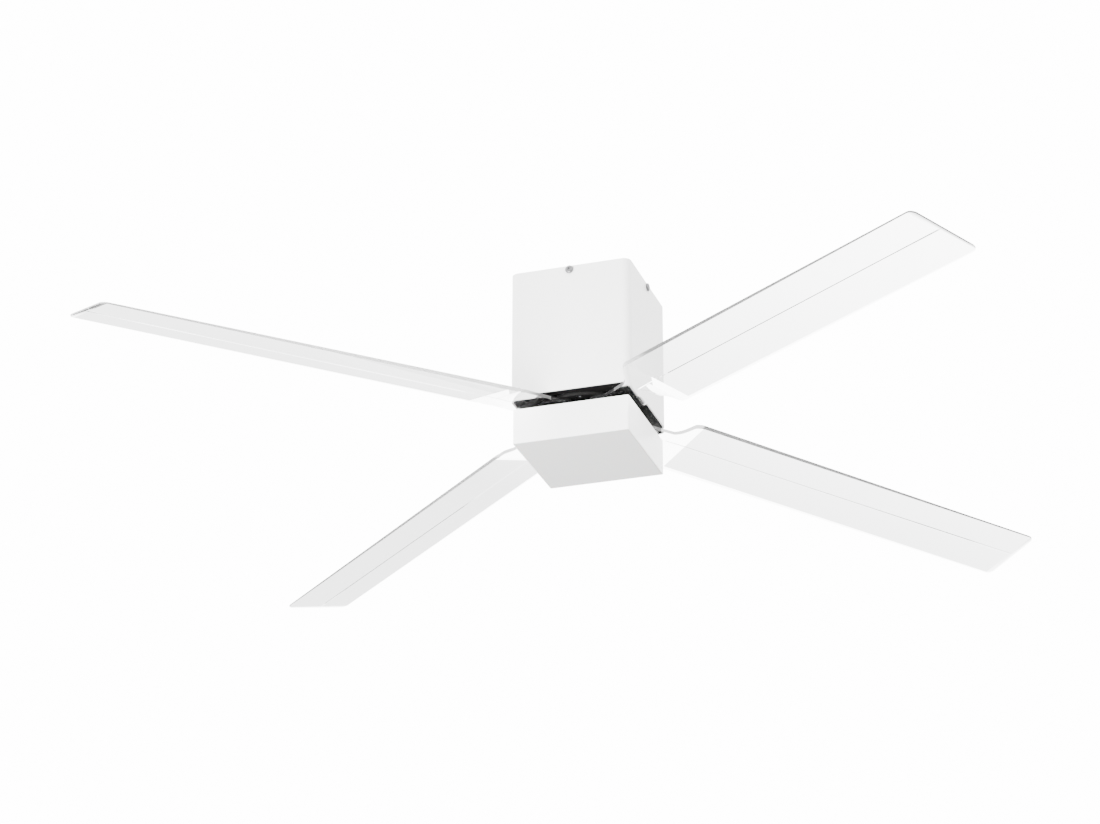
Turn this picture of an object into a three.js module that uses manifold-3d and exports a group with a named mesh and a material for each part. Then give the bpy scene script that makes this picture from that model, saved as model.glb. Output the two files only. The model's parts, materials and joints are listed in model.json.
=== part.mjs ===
// Ceiling fan with four clear blades that swing back on pivots, and a square light box under them.
// Millimetres, +Z up. The origin is the middle of the ceiling face; everything hangs below it.
import * as THREE from "three";
import { mergeVertices } from "three/addons/utils/BufferGeometryUtils.js";
import Module from "manifold-3d";

const wasm = await Module();
wasm.setup();

// ---- Clearances ----
const SEAT_GAP = 0.3; // between two pieces that rest on or grip each other
const TURNING_GAP = 0.8; // between a turning piece and a still one
const ROTOR_WINDOW_GAP = 1.5; // round the carrier, in the floor of the canopy
const OVERCUT = 1; // how far a cutting form runs past the face that it cuts
const WELD = 0.5; // how far two forms of one piece run into each other

// ---- Square body ----
const BODY_SIDE = 140; // of the light box
const CANOPY_OVERHANG = 3; // of the canopy beyond the light box, on each side
const CANOPY_EDGE_RADIUS = 9;
const LIGHT_EDGE_RADIUS = 2.5;
const BRACKET_CORNER_RADIUS = 6;
const CEILING_LINE = 0.5; // shadow line between ceiling and canopy
const CANOPY_HEIGHT = 158.5;
const CANOPY_WALL = 2;
const FLOOR_THICKNESS = 2;
const FLOOR_RECESS = 0.5;
const FLOOR_RIM = 6;

// ---- Ceiling bracket and the screws that hold the canopy to it ----
const BRACKET_MARGIN = 10; // between the bracket's plate and the canopy's wall
const BRACKET_THICKNESS = 4;
const TAB_WIDTH = 24;
const TAB_DROP = 11;
const TAB_THICKNESS = 2.5;
const CEILING_HOLE_SPACING = 90;
const CEILING_HOLE_RADIUS = 3;
const CABLE_HOLE_RADIUS = 7;
const CABLE_HOLE_OFFSET = 27;
const CANOPY_SCREW_DEPTH = 5.6; // below the ceiling
const CANOPY_SCREW_RADIUS = 2.4;
const CANOPY_HEAD_RADIUS = 5;
const CANOPY_HEAD_HEIGHT = 2.8;
const HEAD_TAPER = 0.7; // the head's outer face, as a share of its seat
const CROSS_REACH = 1.1; // arms of the cross recess, as shares of the head's radius
const CROSS_WIDTH = 0.25;
const HEX_RECESS = 0.45; // of the head's radius, in the screws driven from below

// ---- Spindle: the still, hollow shaft that carries everything ----
const SPINDLE_RADIUS = 8;
const SPINDLE_BORE = 5;
const SHOULDER_RADIUS = 11;
const FLANGE_RADIUS = 24;
const FLANGE_THICKNESS = 5;
const FLANGE_BOLT_SPACING = 34;
const FLANGE_BOLT_RADIUS = 2.5;
const BOLT_HEAD_RADIUS = 4.5;
const BOLT_HEAD_HEIGHT = 3.5;
const WINDOW_WIDTH = 7;
const WINDOW_HEIGHT = 24;
const WINDOW_DEPTH = 40; // from the ceiling to the top of the window
const SPINDLE_TAIL = 2.5; // below the light nut

// ---- Control gear under the bracket ----
const RECEIVER = { width: 56, depth: 32, height: 27, step: 3 };
const RECEIVER_EARS = { reach: 7, thickness: 3.5 };
const RECEIVER_GAP = 2; // from the spindle's flange
const TERMINALS = { width: 34, depth: 14, height: 15, ways: 3, wayRadius: 2, wayDepth: 4.2 };
const TERMINALS_GAP = 5; // from the cable hole
const LEAD_RADIUS = 2.2;

// ---- Motor: the shell turns round the still stator ----
const CARRIER_INSET = 11; // from the side of the body to the edge of the carrier
const CARRIER_THICKNESS = 4.5;
const CARRIER_RISE = 2; // above the canopy's lower edge
const SHELL_STEP = 1; // from the carrier's edge to the shell
const SHELL_WALL = 3;
const SHELL_FOOT_WALL = 8.5;
const SHELL_FOOT_HEIGHT = 9.7;
const SHELL_TOP = 3;
const SHELL_CHAMFER = 3;
const CARRIER_CHAMFER = 1;
const MAGNET_THICKNESS = 4.7;
const MAGNET_HEIGHT = 32;
const STATOR_HEIGHT = 25;
const STATOR_LIFT = 14; // from the carrier to the lamination stack
const STATOR_POLES = 12;
const POLE_WIDTH = 8;
const POLE_SHOE = 3;
const SHOE_SLOT = 2; // between neighbouring poles
const SLOT_DEPTH = 25.2; // from the stator's edge to its hub, for the windings
const WINDING_OVERHANG = 6;
const WINDING_EDGE = 3; // sloped edges of the windings, and their gap to the stator's hub
const WINDING_LIP = 1; // upright part of the windings' sides beyond the lamination stack
const BEARING_RADIUS = 17;
const BEARING_WIDTH = 7;
const BEARING_SEAT_WALL = 4;
const BEARING_GROOVE = { width: 3, depth: 1 };
const ROTOR_NUT_HEIGHT = 5;
const MOTOR_HEADROOM = 4; // above the magnets

// ---- Blade pivots and the gear that makes the blades swing together ----
const BLADES = 4;
const BLADE_ANGLE = -38.6; // degrees, of the first blade, with the blades out
const SWING = 45; // degrees that each blade swings back
const PIVOT_RADIUS = 4;
const PIVOT_HEAD_RADIUS = 6;
const PIVOT_HEAD_HEIGHT = 1.4;
const BUSH_WALL = 2.2;
const HUB_THICKNESS = 3.4;
const NECK_SPACING = 3.4; // between neighbouring necks
const TEETH = 24;
const TOOTH_HEIGHT = 2.6;
const TOOTH_SHARE = 0.38; // of the pitch, at the pitch circle
const TOOTH_ROOT_SHARE = 1.45; // a tooth's root and tip, as shares of that width
const TOOTH_TIP_SHARE = 0.6;
const MESH_SPARE = 35; // degrees of teeth beyond the swing, on each side
const HUB_FLANK = 88; // degrees to each side over which a hub follows the blade's round end
const GEAR_BOSS_WALL = 1.6;
const GEAR_WALL = 5.7; // of the middle gear, from its bore to the roots of its teeth
const STOP_RADIUS = 2;
const STOP_REACH = 11.5; // from a pivot to its stop
const STOP_ANGLE = 60; // degrees from the blade's line to the stop
const BLADE_SCREW_RADIUS = 2;
const BLADE_SCREW_HEAD = 3.6;
const BLADE_SCREW_FORWARD = 7;
const BLADE_SCREW_MARGIN = 6.5; // from the side of the round eye
const BLADE_SCREW_SINK = 2;
const CARRIER_SCREW_RADIUS = 2;
const CARRIER_SCREW_HEAD = 3.8;
const CARRIER_SCREW_SINK = 2;
const RETAINER_THICKNESS = 1.6;
const RETAINER_EDGE = 6; // outside the pivot circle

// ---- Blades: flat neck, then a pitched and drooping panel ----
const BLADE_TIP = 646; // from the fan's axis
const BLADE_LEADING = 42; // from the blade's line to its higher edge
const BLADE_TRAILING = 45; // from the blade's line to its lower edge
const BLADE_PITCH = 12.3; // degrees
const BLADE_DROOP = 3; // degrees
const BLADE_ROOT_THICKNESS = 4; // of the neck
const BLADE_PANEL_THICKNESS = 5.2; // where the panel begins
const BLADE_TIP_THICKNESS = 2;
const BEND_CLEARANCE = 7; // from the body's corners to the bend
const BEND_LENGTH = 21; // the twist from the flat neck to the pitched panel
const NECK_END = 6; // from the bend's start to the shoulders
const NECK_CUT = 4.5; // from the eye's radius to the neck's leading edge
const LEADING_SHOULDER = 17; // length along the blade
const TRAILING_SHOULDER = 13;
const TIP_ROUND = 8;
const RIB_OFFSET = 3;
const RIB_WIDTH = 1.6;
const RIB_HEIGHT = 0.7;
const RIB_END = 6; // from the rib's end to the blade's tip

// ---- Light box ----
const LIGHT_HEIGHT = 43;
const LIGHT_WALL = 1.4;
const LIGHT_TOP = 2;
const LIGHT_DROP = 1.7; // from the lowest turning piece to the light box
const LIGHT_NUT_RADIUS = 13;
const LIGHT_NUT_HEIGHT = 6;
const CLAMP_RADIUS = 26;
const CLAMP_THICKNESS = 2;
const POST_RADIUS = 4;
const POST_MARGIN = 11.6; // from the inside of the housing to a post's axis
const POST_HEIGHT = 18.7;
const TRAY_THICKNESS = 1.4;
const TRAY_MARGIN = 0.8;
const TRAY_SLOT = { width: 26, depth: 14, offset: 18 };
const TRAY_SCREW_RADIUS = 1.5;
const TRAY_SCREW_HEAD = 3;
const LED_BOARD_MARGIN = 7; // from the board's edge to the posts' axes
const LED_BOARD_THICKNESS = 1.6;
const LED = { size: 5, height: 1.2, rows: 4, spacing: 25, sink: 0.2 };
const LED_DRIVER = { width: 62, depth: 26, height: 14 };
const LED_DRIVER_MARGIN = 13.6; // from the inside of the housing
const DIFFUSER_HEIGHT = 11;
const DIFFUSER_WALL = 2;
const DIFFUSER_FACE = 2.5;

const FINE_SIDES = 32; // sides of the large round pieces
const MEDIUM_SIDES = 24; // sides of the spindle, the bearings and the gear's bore
const HOLE_SIDES = 16; // sides of the holes round the spindle
const COARSE_SIDES = 12; // sides of pins and screw heads
const SMALL_SIDES = 8; // sides of screw holes and shanks
const HEX_SIDES = 6;
const CORNER_STEPS = 3; // sides of a rounded corner
const rad = THREE.MathUtils.degToRad;

// ---- Levels, from the ceiling down ----
const halfBody = BODY_SIDE / 2;
const halfCanopy = halfBody + CANOPY_OVERHANG;
const canopyInner = halfCanopy - CANOPY_WALL;
const lightInner = halfBody - LIGHT_WALL;
const bracketHalf = canopyInner - BRACKET_MARGIN;
const canopyBottom = -CEILING_LINE - CANOPY_HEIGHT;
const bracketBottom = -BRACKET_THICKNESS;
const carrierTop = canopyBottom + CARRIER_RISE;
const carrierBottom = carrierTop - CARRIER_THICKNESS;
const hubTop = carrierBottom - SEAT_GAP;
const hubBottom = hubTop - HUB_THICKNESS;
const neckTop = hubBottom - SEAT_GAP;
const neckBottom = neckTop - BLADE_ROOT_THICKNESS;
const retainerTop = neckBottom - SEAT_GAP;
const retainerBottom = retainerTop - RETAINER_THICKNESS;
const pivotHeadBottom = retainerBottom - SEAT_GAP - PIVOT_HEAD_HEIGHT;
const lightTop = pivotHeadBottom - LIGHT_DROP;
const lightBottom = lightTop - LIGHT_HEIGHT;
const shellBottom = carrierTop + SEAT_GAP;
const magnetBottom = shellBottom + SHELL_FOOT_HEIGHT + SEAT_GAP;
const shellInnerTop = magnetBottom + MAGNET_HEIGHT + MOTOR_HEADROOM;
const shellTop = shellInnerTop + SHELL_TOP;
const statorBottom = carrierTop + STATOR_LIFT;
const statorTop = statorBottom + STATOR_HEIGHT;
const clampTop = lightTop - LIGHT_TOP - SEAT_GAP;
const clampBottom = clampTop - CLAMP_THICKNESS;
const lightNutTop = clampBottom - SEAT_GAP;
const spindleBottom = lightNutTop - LIGHT_NUT_HEIGHT - SPINDLE_TAIL;
const trayTop = lightTop - LIGHT_TOP - POST_HEIGHT - SEAT_GAP;
const trayBottom = trayTop - TRAY_THICKNESS;
const boardTop = trayBottom - SEAT_GAP;
const boardBottom = boardTop - LED_BOARD_THICKNESS;
const spindleTop = bracketBottom - SEAT_GAP;

// ---- Radii of the turning pieces, from the carrier's edge in ----
const carrierRadius = halfBody - CARRIER_INSET;
const shellRadius = carrierRadius - SHELL_STEP;
const shellBore = shellRadius - SHELL_WALL;
const magnetOuter = shellBore - SEAT_GAP;
const magnetInner = magnetOuter - MAGNET_THICKNESS;
const statorRadius = magnetInner - TURNING_GAP;
const statorHub = statorRadius - SLOT_DEPTH;
const carrierScrewCircle = shellRadius - SHELL_FOOT_WALL / 2;
const spindleHole = SPINDLE_RADIUS + SEAT_GAP;
const nutRadius = SHOULDER_RADIUS;
const bossBore = nutRadius + TURNING_GAP;
const bossRadius = bossBore + GEAR_BOSS_WALL;
const toothRoot = bossRadius + SEAT_GAP + GEAR_WALL;
const toothTip = toothRoot + TOOTH_HEIGHT;
const pitchRadius = (toothRoot + toothTip) / 2 + SEAT_GAP;
const pivotCircle = pitchRadius * 2;
const eyeRadius = (pivotCircle * Math.SQRT2 - NECK_SPACING) / 2;
const bendStart = halfBody * Math.SQRT2 + BEND_CLEARANCE;
const seatRadius = BEARING_RADIUS + SEAT_GAP;
const lowerLedge = carrierTop - SEAT_GAP * 3;
const lowerSeatTop = lowerLedge + BEARING_WIDTH + SEAT_GAP;
const upperLedge = shellInnerTop;
const upperBearingTop = upperLedge - SEAT_GAP;

// ---- Materials ----
function paint(color, roughness, metalness, more) {
  return new THREE.MeshStandardMaterial({ color, roughness, metalness, ...more });
}
const whitePaint = paint(0xf1f1ef, 0.35, 0);
const blackPaint = paint(0x141414, 0.5, 0);
const clearAcrylic = paint(0xf2f5f5, 0.06, 0, { transparent: true, opacity: 0.35 });
const opalAcrylic = paint(0xdcdcda, 0.4, 0);
const steel = paint(0xb9bcc0, 0.3, 1);
const zinc = paint(0xa9adb0, 0.45, 1);
const lamination = paint(0x55585c, 0.5, 1);
const copper = paint(0xa65a2a, 0.4, 1);
const ferrite = paint(0x2b2c2e, 0.7, 0);
const castMetal = paint(0x1a1b1c, 0.55, 0.6);
const darkPlastic = paint(0x2a2b2d, 0.6, 0);
const palePlastic = paint(0xd9d9d4, 0.55, 0);
const boardWhite = paint(0xeeeeea, 0.5, 0);
const leadSleeve = paint(0x3a3a3c, 0.6, 0);

// ---- Shapes ----
function circle(radius, sides = COARSE_SIDES, cx = 0, cy = 0) {
  return Array.from({ length: sides }, (_, i) => {
    const a = (2 * Math.PI * i) / sides;
    return new THREE.Vector2(cx + radius * Math.cos(a), cy + radius * Math.sin(a));
  });
}

function roundedSquare(half, radius) {
  const points = [];
  for (let corner = 0; corner < 4; corner++) {
    for (let step = 0; step <= CORNER_STEPS; step++) {
      const a = ((corner + step / CORNER_STEPS) * Math.PI) / 2;
      const sx = corner === 0 || corner === 3 ? 1 : -1;
      const sy = corner < 2 ? 1 : -1;
      const x = sx * (half - radius) + radius * Math.cos(a);
      points.push(new THREE.Vector2(x, sy * (half - radius) + radius * Math.sin(a)));
    }
  }
  return points;
}

function rectangle(width, depth, cx = 0, cy = 0) {
  const x = width / 2;
  const y = depth / 2;
  return [[-x, -y], [x, -y], [x, y], [-x, y]].map((p) => new THREE.Vector2(cx + p[0], cy + p[1]));
}

// The outline, with its holes, between two levels.
function prism(outline, top, bottom, holes = []) {
  const shape = new THREE.Shape(outline);
  shape.holes = holes.map((points) => new THREE.Path(points));
  const g = new THREE.ExtrudeGeometry(shape, { depth: top - bottom, bevelEnabled: false });
  return g.translate(0, 0, bottom);
}

// A closed profile of [radius, level] pairs turned round the vertical axis.
function turned(profile, sides = FINE_SIDES) {
  const points = profile.map(([r, z]) => new THREE.Vector2(r, z));
  points.push(points[0].clone());
  return new THREE.LatheGeometry(points, sides).rotateX(Math.PI / 2);
}

function rod(radius, top, bottom, x = 0, y = 0, sides = COARSE_SIDES) {
  return prism(circle(radius, sides, x, y), top, bottom);
}

// The form that cuts a round hole through everything between two levels.
function drilled(radius, top, bottom, x = 0, y = 0, sides = COARSE_SIDES) {
  return rod(radius, top + OVERCUT, bottom - OVERCUT, x, y, sides);
}

function block(width, depth, top, bottom, x = 0, y = 0) {
  return prism(rectangle(width, depth, x, y), top, bottom);
}

// ---- Joins and cuts ----
function toSolid(geometry) {
  let g = new THREE.BufferGeometry().setAttribute("position", geometry.getAttribute("position"));
  if (geometry.index) g.setIndex(geometry.index);
  g = mergeVertices(g, 1e-4);
  const triVerts = new Uint32Array(g.index.array);
  const vertProperties = g.attributes.position.array;
  const made = new wasm.Manifold(new wasm.Mesh({ numProp: 3, vertProperties, triVerts }));
  if (made.volume() > 0) return made;
  for (let i = 0; i < triVerts.length; i += 3) triVerts.subarray(i, i + 2).reverse();
  return new wasm.Manifold(new wasm.Mesh({ numProp: 3, vertProperties, triVerts }));
}

function combine(added, cut = []) {
  let made = toSolid(added[0]);
  for (const g of added.slice(1)) made = made.add(toSolid(g));
  for (const g of cut) made = made.subtract(toSolid(g));
  const { vertProperties, triVerts } = made.getMesh();
  const g = new THREE.BufferGeometry();
  g.setAttribute("position", new THREE.BufferAttribute(vertProperties, 3));
  g.setIndex(new THREE.BufferAttribute(triVerts, 1));
  g.computeVertexNormals();
  return g;
}

function piece(name, material, added, cut) {
  const mesh = new THREE.Mesh(combine([].concat(added), cut), material);
  mesh.name = name;
  return mesh;
}

const fan = new THREE.Group();

// ---- Ceiling bracket ----
const tabReach = canopyInner - SEAT_GAP;
const screwHole = (radius) => radius + SEAT_GAP;
const sides = [0, 1, 2, 3].map((i) => (i * Math.PI) / 2);

function along(angle, geometry) {
  return geometry.rotateZ(angle);
}

function crosswise(radius, from, to, level, segments = SMALL_SIDES) {
  return new THREE.CylinderGeometry(radius, radius, to - from, segments)
    .rotateZ(Math.PI / 2)
    .translate((from + to) / 2, 0, level);
}

const tabs = sides.flatMap((a) => [
  along(a, block(tabReach, TAB_WIDTH, 0, bracketBottom, tabReach / 2)),
  along(a, block(TAB_THICKNESS, TAB_WIDTH, 0, -TAB_DROP, tabReach - TAB_THICKNESS / 2)),
]);
const halfPitch = CEILING_HOLE_SPACING / 2;
const bracketHoles = [
  ...[[1, 1], [1, -1], [-1, 1], [-1, -1]].map(([x, y]) =>
    drilled(CEILING_HOLE_RADIUS, 0, bracketBottom, x * halfPitch, y * halfPitch)),
  ...[1, -1].map((x) => drilled(screwHole(FLANGE_BOLT_RADIUS), 0, bracketBottom,
    (x * FLANGE_BOLT_SPACING) / 2)),
  drilled(CABLE_HOLE_RADIUS, 0, bracketBottom, 0, -CABLE_HOLE_OFFSET),
  ...sides.map((a) => along(a, crosswise(screwHole(CANOPY_SCREW_RADIUS),
    tabReach - TAB_THICKNESS - OVERCUT, tabReach + OVERCUT, -CANOPY_SCREW_DEPTH))),
];
fan.add(piece("ceiling_bracket", zinc,
  [prism(roundedSquare(bracketHalf, BRACKET_CORNER_RADIUS), 0, bracketBottom), ...tabs],
  bracketHoles));

// ---- Canopy, its floor and its screws ----
const canopyInnerRadius = CANOPY_EDGE_RADIUS - CANOPY_WALL;
fan.add(piece("canopy", whitePaint,
  [prism(roundedSquare(halfCanopy, CANOPY_EDGE_RADIUS), -CEILING_LINE, canopyBottom,
    [roundedSquare(canopyInner, canopyInnerRadius)])],
  sides.map((a) => along(a, crosswise(screwHole(CANOPY_SCREW_RADIUS),
    canopyInner - OVERCUT, halfCanopy + OVERCUT, -CANOPY_SCREW_DEPTH)))));

const floorBottom = canopyBottom + FLOOR_RECESS;
const floorTop = floorBottom + FLOOR_THICKNESS;
const floorHalf = canopyInner - SEAT_GAP;
const floorRadius = canopyInnerRadius - SEAT_GAP;
fan.add(piece("canopy_floor", blackPaint,
  prism(roundedSquare(floorHalf, floorRadius), floorTop + FLOOR_RIM, floorBottom),
  [
    prism(roundedSquare(floorHalf - FLOOR_THICKNESS, floorRadius - FLOOR_THICKNESS),
      floorTop + FLOOR_RIM + OVERCUT, floorTop),
    drilled(carrierRadius + ROTOR_WINDOW_GAP, floorTop, floorBottom, 0, 0, FINE_SIDES),
  ]));

sides.forEach((a, i) => {
  const head = halfCanopy + SEAT_GAP;
  const headEnd = head + CANOPY_HEAD_HEIGHT;
  const tip = tabReach - TAB_THICKNESS - OVERCUT;
  const dome = new THREE.CylinderGeometry(CANOPY_HEAD_RADIUS, CANOPY_HEAD_RADIUS * HEAD_TAPER,
    CANOPY_HEAD_HEIGHT, COARSE_SIDES).rotateZ(Math.PI / 2)
    .translate((head + headEnd) / 2, 0, -CANOPY_SCREW_DEPTH);
  const arm = CANOPY_HEAD_RADIUS * CROSS_REACH;
  const slot = CANOPY_HEAD_RADIUS * CROSS_WIDTH;
  const bit = (width, height) => new THREE.BoxGeometry(CANOPY_HEAD_HEIGHT, width, height)
    .translate(headEnd, 0, -CANOPY_SCREW_DEPTH);
  const shank = crosswise(CANOPY_SCREW_RADIUS, tip, head + CANOPY_HEAD_HEIGHT / 2,
    -CANOPY_SCREW_DEPTH, SMALL_SIDES);
  fan.add(piece("canopy_screw_" + (i + 1), steel,
    [along(a, shank), along(a, dome)],
    [along(a, bit(arm, slot)), along(a, bit(slot, arm))]));
});

// ---- Spindle and its bolts ----
const windowTop = -WINDOW_DEPTH;
fan.add(piece("spindle", steel,
  turned([
    [SPINDLE_BORE, spindleTop], [FLANGE_RADIUS, spindleTop],
    [FLANGE_RADIUS, spindleTop - FLANGE_THICKNESS],
    [SHOULDER_RADIUS, spindleTop - FLANGE_THICKNESS],
    [SHOULDER_RADIUS, upperBearingTop + SEAT_GAP],
    [SPINDLE_RADIUS, upperBearingTop + SEAT_GAP],
    [SPINDLE_RADIUS, spindleBottom], [SPINDLE_BORE, spindleBottom],
  ], MEDIUM_SIDES),
  [
    ...[1, -1].map((x) => drilled(screwHole(FLANGE_BOLT_RADIUS), spindleTop,
      spindleTop - FLANGE_THICKNESS, (x * FLANGE_BOLT_SPACING) / 2)),
    block(WINDOW_WIDTH, SHOULDER_RADIUS + OVERCUT, windowTop, windowTop - WINDOW_HEIGHT,
      0, (SHOULDER_RADIUS + OVERCUT) / 2),
  ]));

[1, -1].forEach((x, i) => {
  const at = (x * FLANGE_BOLT_SPACING) / 2;
  const seat = spindleTop - FLANGE_THICKNESS - SEAT_GAP;
  fan.add(piece("flange_bolt_" + (i + 1), zinc, [
    rod(FLANGE_BOLT_RADIUS, -SEAT_GAP, seat - WELD, at, 0, SMALL_SIDES),
    rod(BOLT_HEAD_RADIUS, seat, seat - BOLT_HEAD_HEIGHT, at, 0, HEX_SIDES),
  ]));
});

// ---- Receiver, terminals ----
const receiverTop = spindleTop;
const receiverAt = FLANGE_RADIUS + RECEIVER_GAP + RECEIVER.depth / 2;
fan.add(piece("receiver_box", darkPlastic, [
  block(RECEIVER.width, RECEIVER.depth, receiverTop - RECEIVER.step,
    receiverTop - RECEIVER.height, 0, receiverAt),
  block(RECEIVER.width + 2 * RECEIVER_EARS.reach, RECEIVER.depth / 2, receiverTop,
    receiverTop - RECEIVER_EARS.thickness, 0, receiverAt),
]));

const terminalWay = TERMINALS.width / TERMINALS.ways;
const terminalFace = -CABLE_HOLE_OFFSET - CABLE_HOLE_RADIUS - TERMINALS_GAP;
const wayHoles = Array.from({ length: TERMINALS.ways }, (_, i) =>
  new THREE.CylinderGeometry(TERMINALS.wayRadius, TERMINALS.wayRadius, TERMINALS.wayDepth * 2,
    COARSE_SIDES).translate((i - (TERMINALS.ways - 1) / 2) * terminalWay, terminalFace,
    receiverTop - TERMINALS.height / 2));
fan.add(piece("terminal_block", palePlastic,
  block(TERMINALS.width, TERMINALS.depth, receiverTop, receiverTop - TERMINALS.height,
    0, terminalFace - TERMINALS.depth / 2),
  wayHoles));

// ---- Stator ----
function stator(grow) {
  const hub = rod(statorHub + grow, statorTop + grow, statorBottom - grow, 0, 0, FINE_SIDES);
  const inner = statorHub / 2;
  const outer = statorRadius - POLE_SHOE / 2;
  const poles = Array.from({ length: STATOR_POLES }, (_, i) =>
    along((2 * Math.PI * i) / STATOR_POLES, block(outer - inner, POLE_WIDTH + 2 * grow,
      statorTop + grow, statorBottom - grow, (outer + inner) / 2)));
  return [hub, ...poles];
}
const shoeInner = statorRadius - POLE_SHOE;
const shoe = prism(circle(statorRadius, FINE_SIDES), statorTop, statorBottom,
  [circle(shoeInner, FINE_SIDES)]);
const shoeSlots = Array.from({ length: STATOR_POLES }, (_, i) => {
  const a = (2 * Math.PI * (i + 0.5)) / STATOR_POLES;
  return along(a, block(POLE_SHOE * 3, SHOE_SLOT, statorTop + OVERCUT,
    statorBottom - OVERCUT, statorRadius));
});
fan.add(piece("stator_core", lamination, [...stator(0), shoe],
  [drilled(spindleHole, statorTop, statorBottom, 0, 0, HOLE_SIDES), ...shoeSlots]));

const windingOuter = shoeInner - SEAT_GAP * 2;
const windingInner = statorHub + WINDING_EDGE;
// Half of the windings' section, above or below the lamination stack.
function windingEnd(level, side) {
  const lip = level + side * WINDING_LIP;
  const end = level + side * WINDING_OVERHANG;
  return [[windingInner, lip], [windingInner + WINDING_EDGE, end],
    [windingOuter - WINDING_EDGE, end], [windingOuter, lip]];
}
fan.add(piece("stator_windings", copper,
  turned([...windingEnd(statorTop, 1), ...windingEnd(statorBottom, -1).reverse()]),
  stator(SEAT_GAP)));

// ---- Rotor ----
const quarters = Array.from({ length: BLADES }, (_, i) => (2 * Math.PI * i) / BLADES);
const rotor = new THREE.Group();
rotor.rotation.z = rad(BLADE_ANGLE);
fan.add(rotor);

const between = Math.PI / BLADES;
const screwAt = quarters.map((a) => [
  carrierScrewCircle * Math.cos(a + between),
  carrierScrewCircle * Math.sin(a + between),
]);
const pivotAt = quarters.map((a) => [pivotCircle * Math.cos(a), pivotCircle * Math.sin(a)]);

const shellTopHole = SHOULDER_RADIUS + TURNING_GAP;
rotor.add(piece("motor_shell", castMetal,
  turned([
    [shellRadius, shellBottom], [shellRadius, shellTop - SHELL_CHAMFER],
    [shellRadius - SHELL_CHAMFER, shellTop],
    [shellTopHole, shellTop], [shellTopHole, upperLedge], [seatRadius, upperLedge],
    [seatRadius, upperLedge - BEARING_WIDTH - SEAT_GAP],
    [seatRadius + BEARING_SEAT_WALL, upperLedge - BEARING_WIDTH - SEAT_GAP],
    [seatRadius + BEARING_SEAT_WALL, shellInnerTop], [shellBore, shellInnerTop],
    [shellBore, shellBottom + SHELL_FOOT_HEIGHT],
    [shellRadius - SHELL_FOOT_WALL, shellBottom + SHELL_FOOT_HEIGHT],
    [shellRadius - SHELL_FOOT_WALL, shellBottom],
  ]),
  screwAt.map(([x, y]) => rod(screwHole(CARRIER_SCREW_RADIUS),
    shellBottom + SHELL_FOOT_HEIGHT - OVERCUT, shellBottom - OVERCUT, x, y, SMALL_SIDES))));

rotor.add(piece("magnet_ring", ferrite, turned([
  [magnetInner, magnetBottom], [magnetOuter, magnetBottom],
  [magnetOuter, magnetBottom + MAGNET_HEIGHT], [magnetInner, magnetBottom + MAGNET_HEIGHT],
])));

function bearing(name, top) {
  const bottom = top - BEARING_WIDTH;
  const groove = (SPINDLE_RADIUS + BEARING_RADIUS) / 2;
  return piece(name, steel, turned([
    [spindleHole, top], [spindleHole, bottom], [groove - BEARING_GROOVE.width / 2, bottom],
    [groove, bottom + BEARING_GROOVE.depth], [groove + BEARING_GROOVE.width / 2, bottom],
    [BEARING_RADIUS, bottom], [BEARING_RADIUS, top],
  ], MEDIUM_SIDES));
}
rotor.add(bearing("upper_bearing", upperBearingTop));
rotor.add(bearing("lower_bearing", lowerLedge + SEAT_GAP + BEARING_WIDTH));

const stopAt = quarters.map((a) => {
  const turn = a + rad(STOP_ANGLE);
  return [
    pivotCircle * Math.cos(a) + STOP_REACH * Math.cos(turn),
    pivotCircle * Math.sin(a) + STOP_REACH * Math.sin(turn),
  ];
});
rotor.add(piece("rotor_carrier", castMetal,
  [
    turned([
      [bossBore, hubBottom], [bossRadius, hubBottom], [bossRadius, carrierBottom],
      [carrierRadius, carrierBottom], [carrierRadius, carrierTop - CARRIER_CHAMFER],
      [carrierRadius - CARRIER_CHAMFER, carrierTop], [seatRadius + BEARING_SEAT_WALL, carrierTop],
      [seatRadius + BEARING_SEAT_WALL, lowerSeatTop], [seatRadius, lowerSeatTop],
      [seatRadius, lowerLedge], [bossBore, lowerLedge],
    ]),
    ...stopAt.map(([x, y]) =>
      rod(STOP_RADIUS, carrierBottom + WELD, hubBottom + SEAT_GAP, x, y, SMALL_SIDES)),
  ],
  [
    ...pivotAt.map(([x, y]) => drilled(screwHole(PIVOT_RADIUS), carrierTop, carrierBottom, x, y)),
    ...screwAt.flatMap(([x, y]) => [
      drilled(screwHole(CARRIER_SCREW_RADIUS), carrierTop, carrierBottom, x, y, SMALL_SIDES),
      rod(screwHole(CARRIER_SCREW_HEAD), carrierBottom + CARRIER_SCREW_SINK + SEAT_GAP,
        carrierBottom - OVERCUT, x, y),
    ]),
  ]));

screwAt.forEach(([x, y], i) => {
  const headTop = carrierBottom + CARRIER_SCREW_SINK;
  const tip = shellBottom + SHELL_FOOT_HEIGHT - 2 * OVERCUT;
  rotor.add(piece("carrier_screw_" + (i + 1), steel,
    [
      rod(CARRIER_SCREW_HEAD, headTop, carrierBottom + SEAT_GAP, x, y),
      rod(CARRIER_SCREW_RADIUS, tip, headTop - WELD, x, y, SMALL_SIDES),
    ],
    [rod(CARRIER_SCREW_HEAD * HEX_RECESS, carrierBottom + CARRIER_SCREW_SINK / 2,
      carrierBottom - OVERCUT, x, y, HEX_SIDES)]));
});

rotor.add(piece("retainer_plate", blackPaint,
  prism(circle(pivotCircle + RETAINER_EDGE, FINE_SIDES), retainerTop, retainerBottom,
    [circle(LIGHT_NUT_RADIUS + TURNING_GAP, HOLE_SIDES)]),
  pivotAt.map(([x, y]) => drilled(screwHole(PIVOT_RADIUS), retainerTop, retainerBottom, x, y))));

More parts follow.
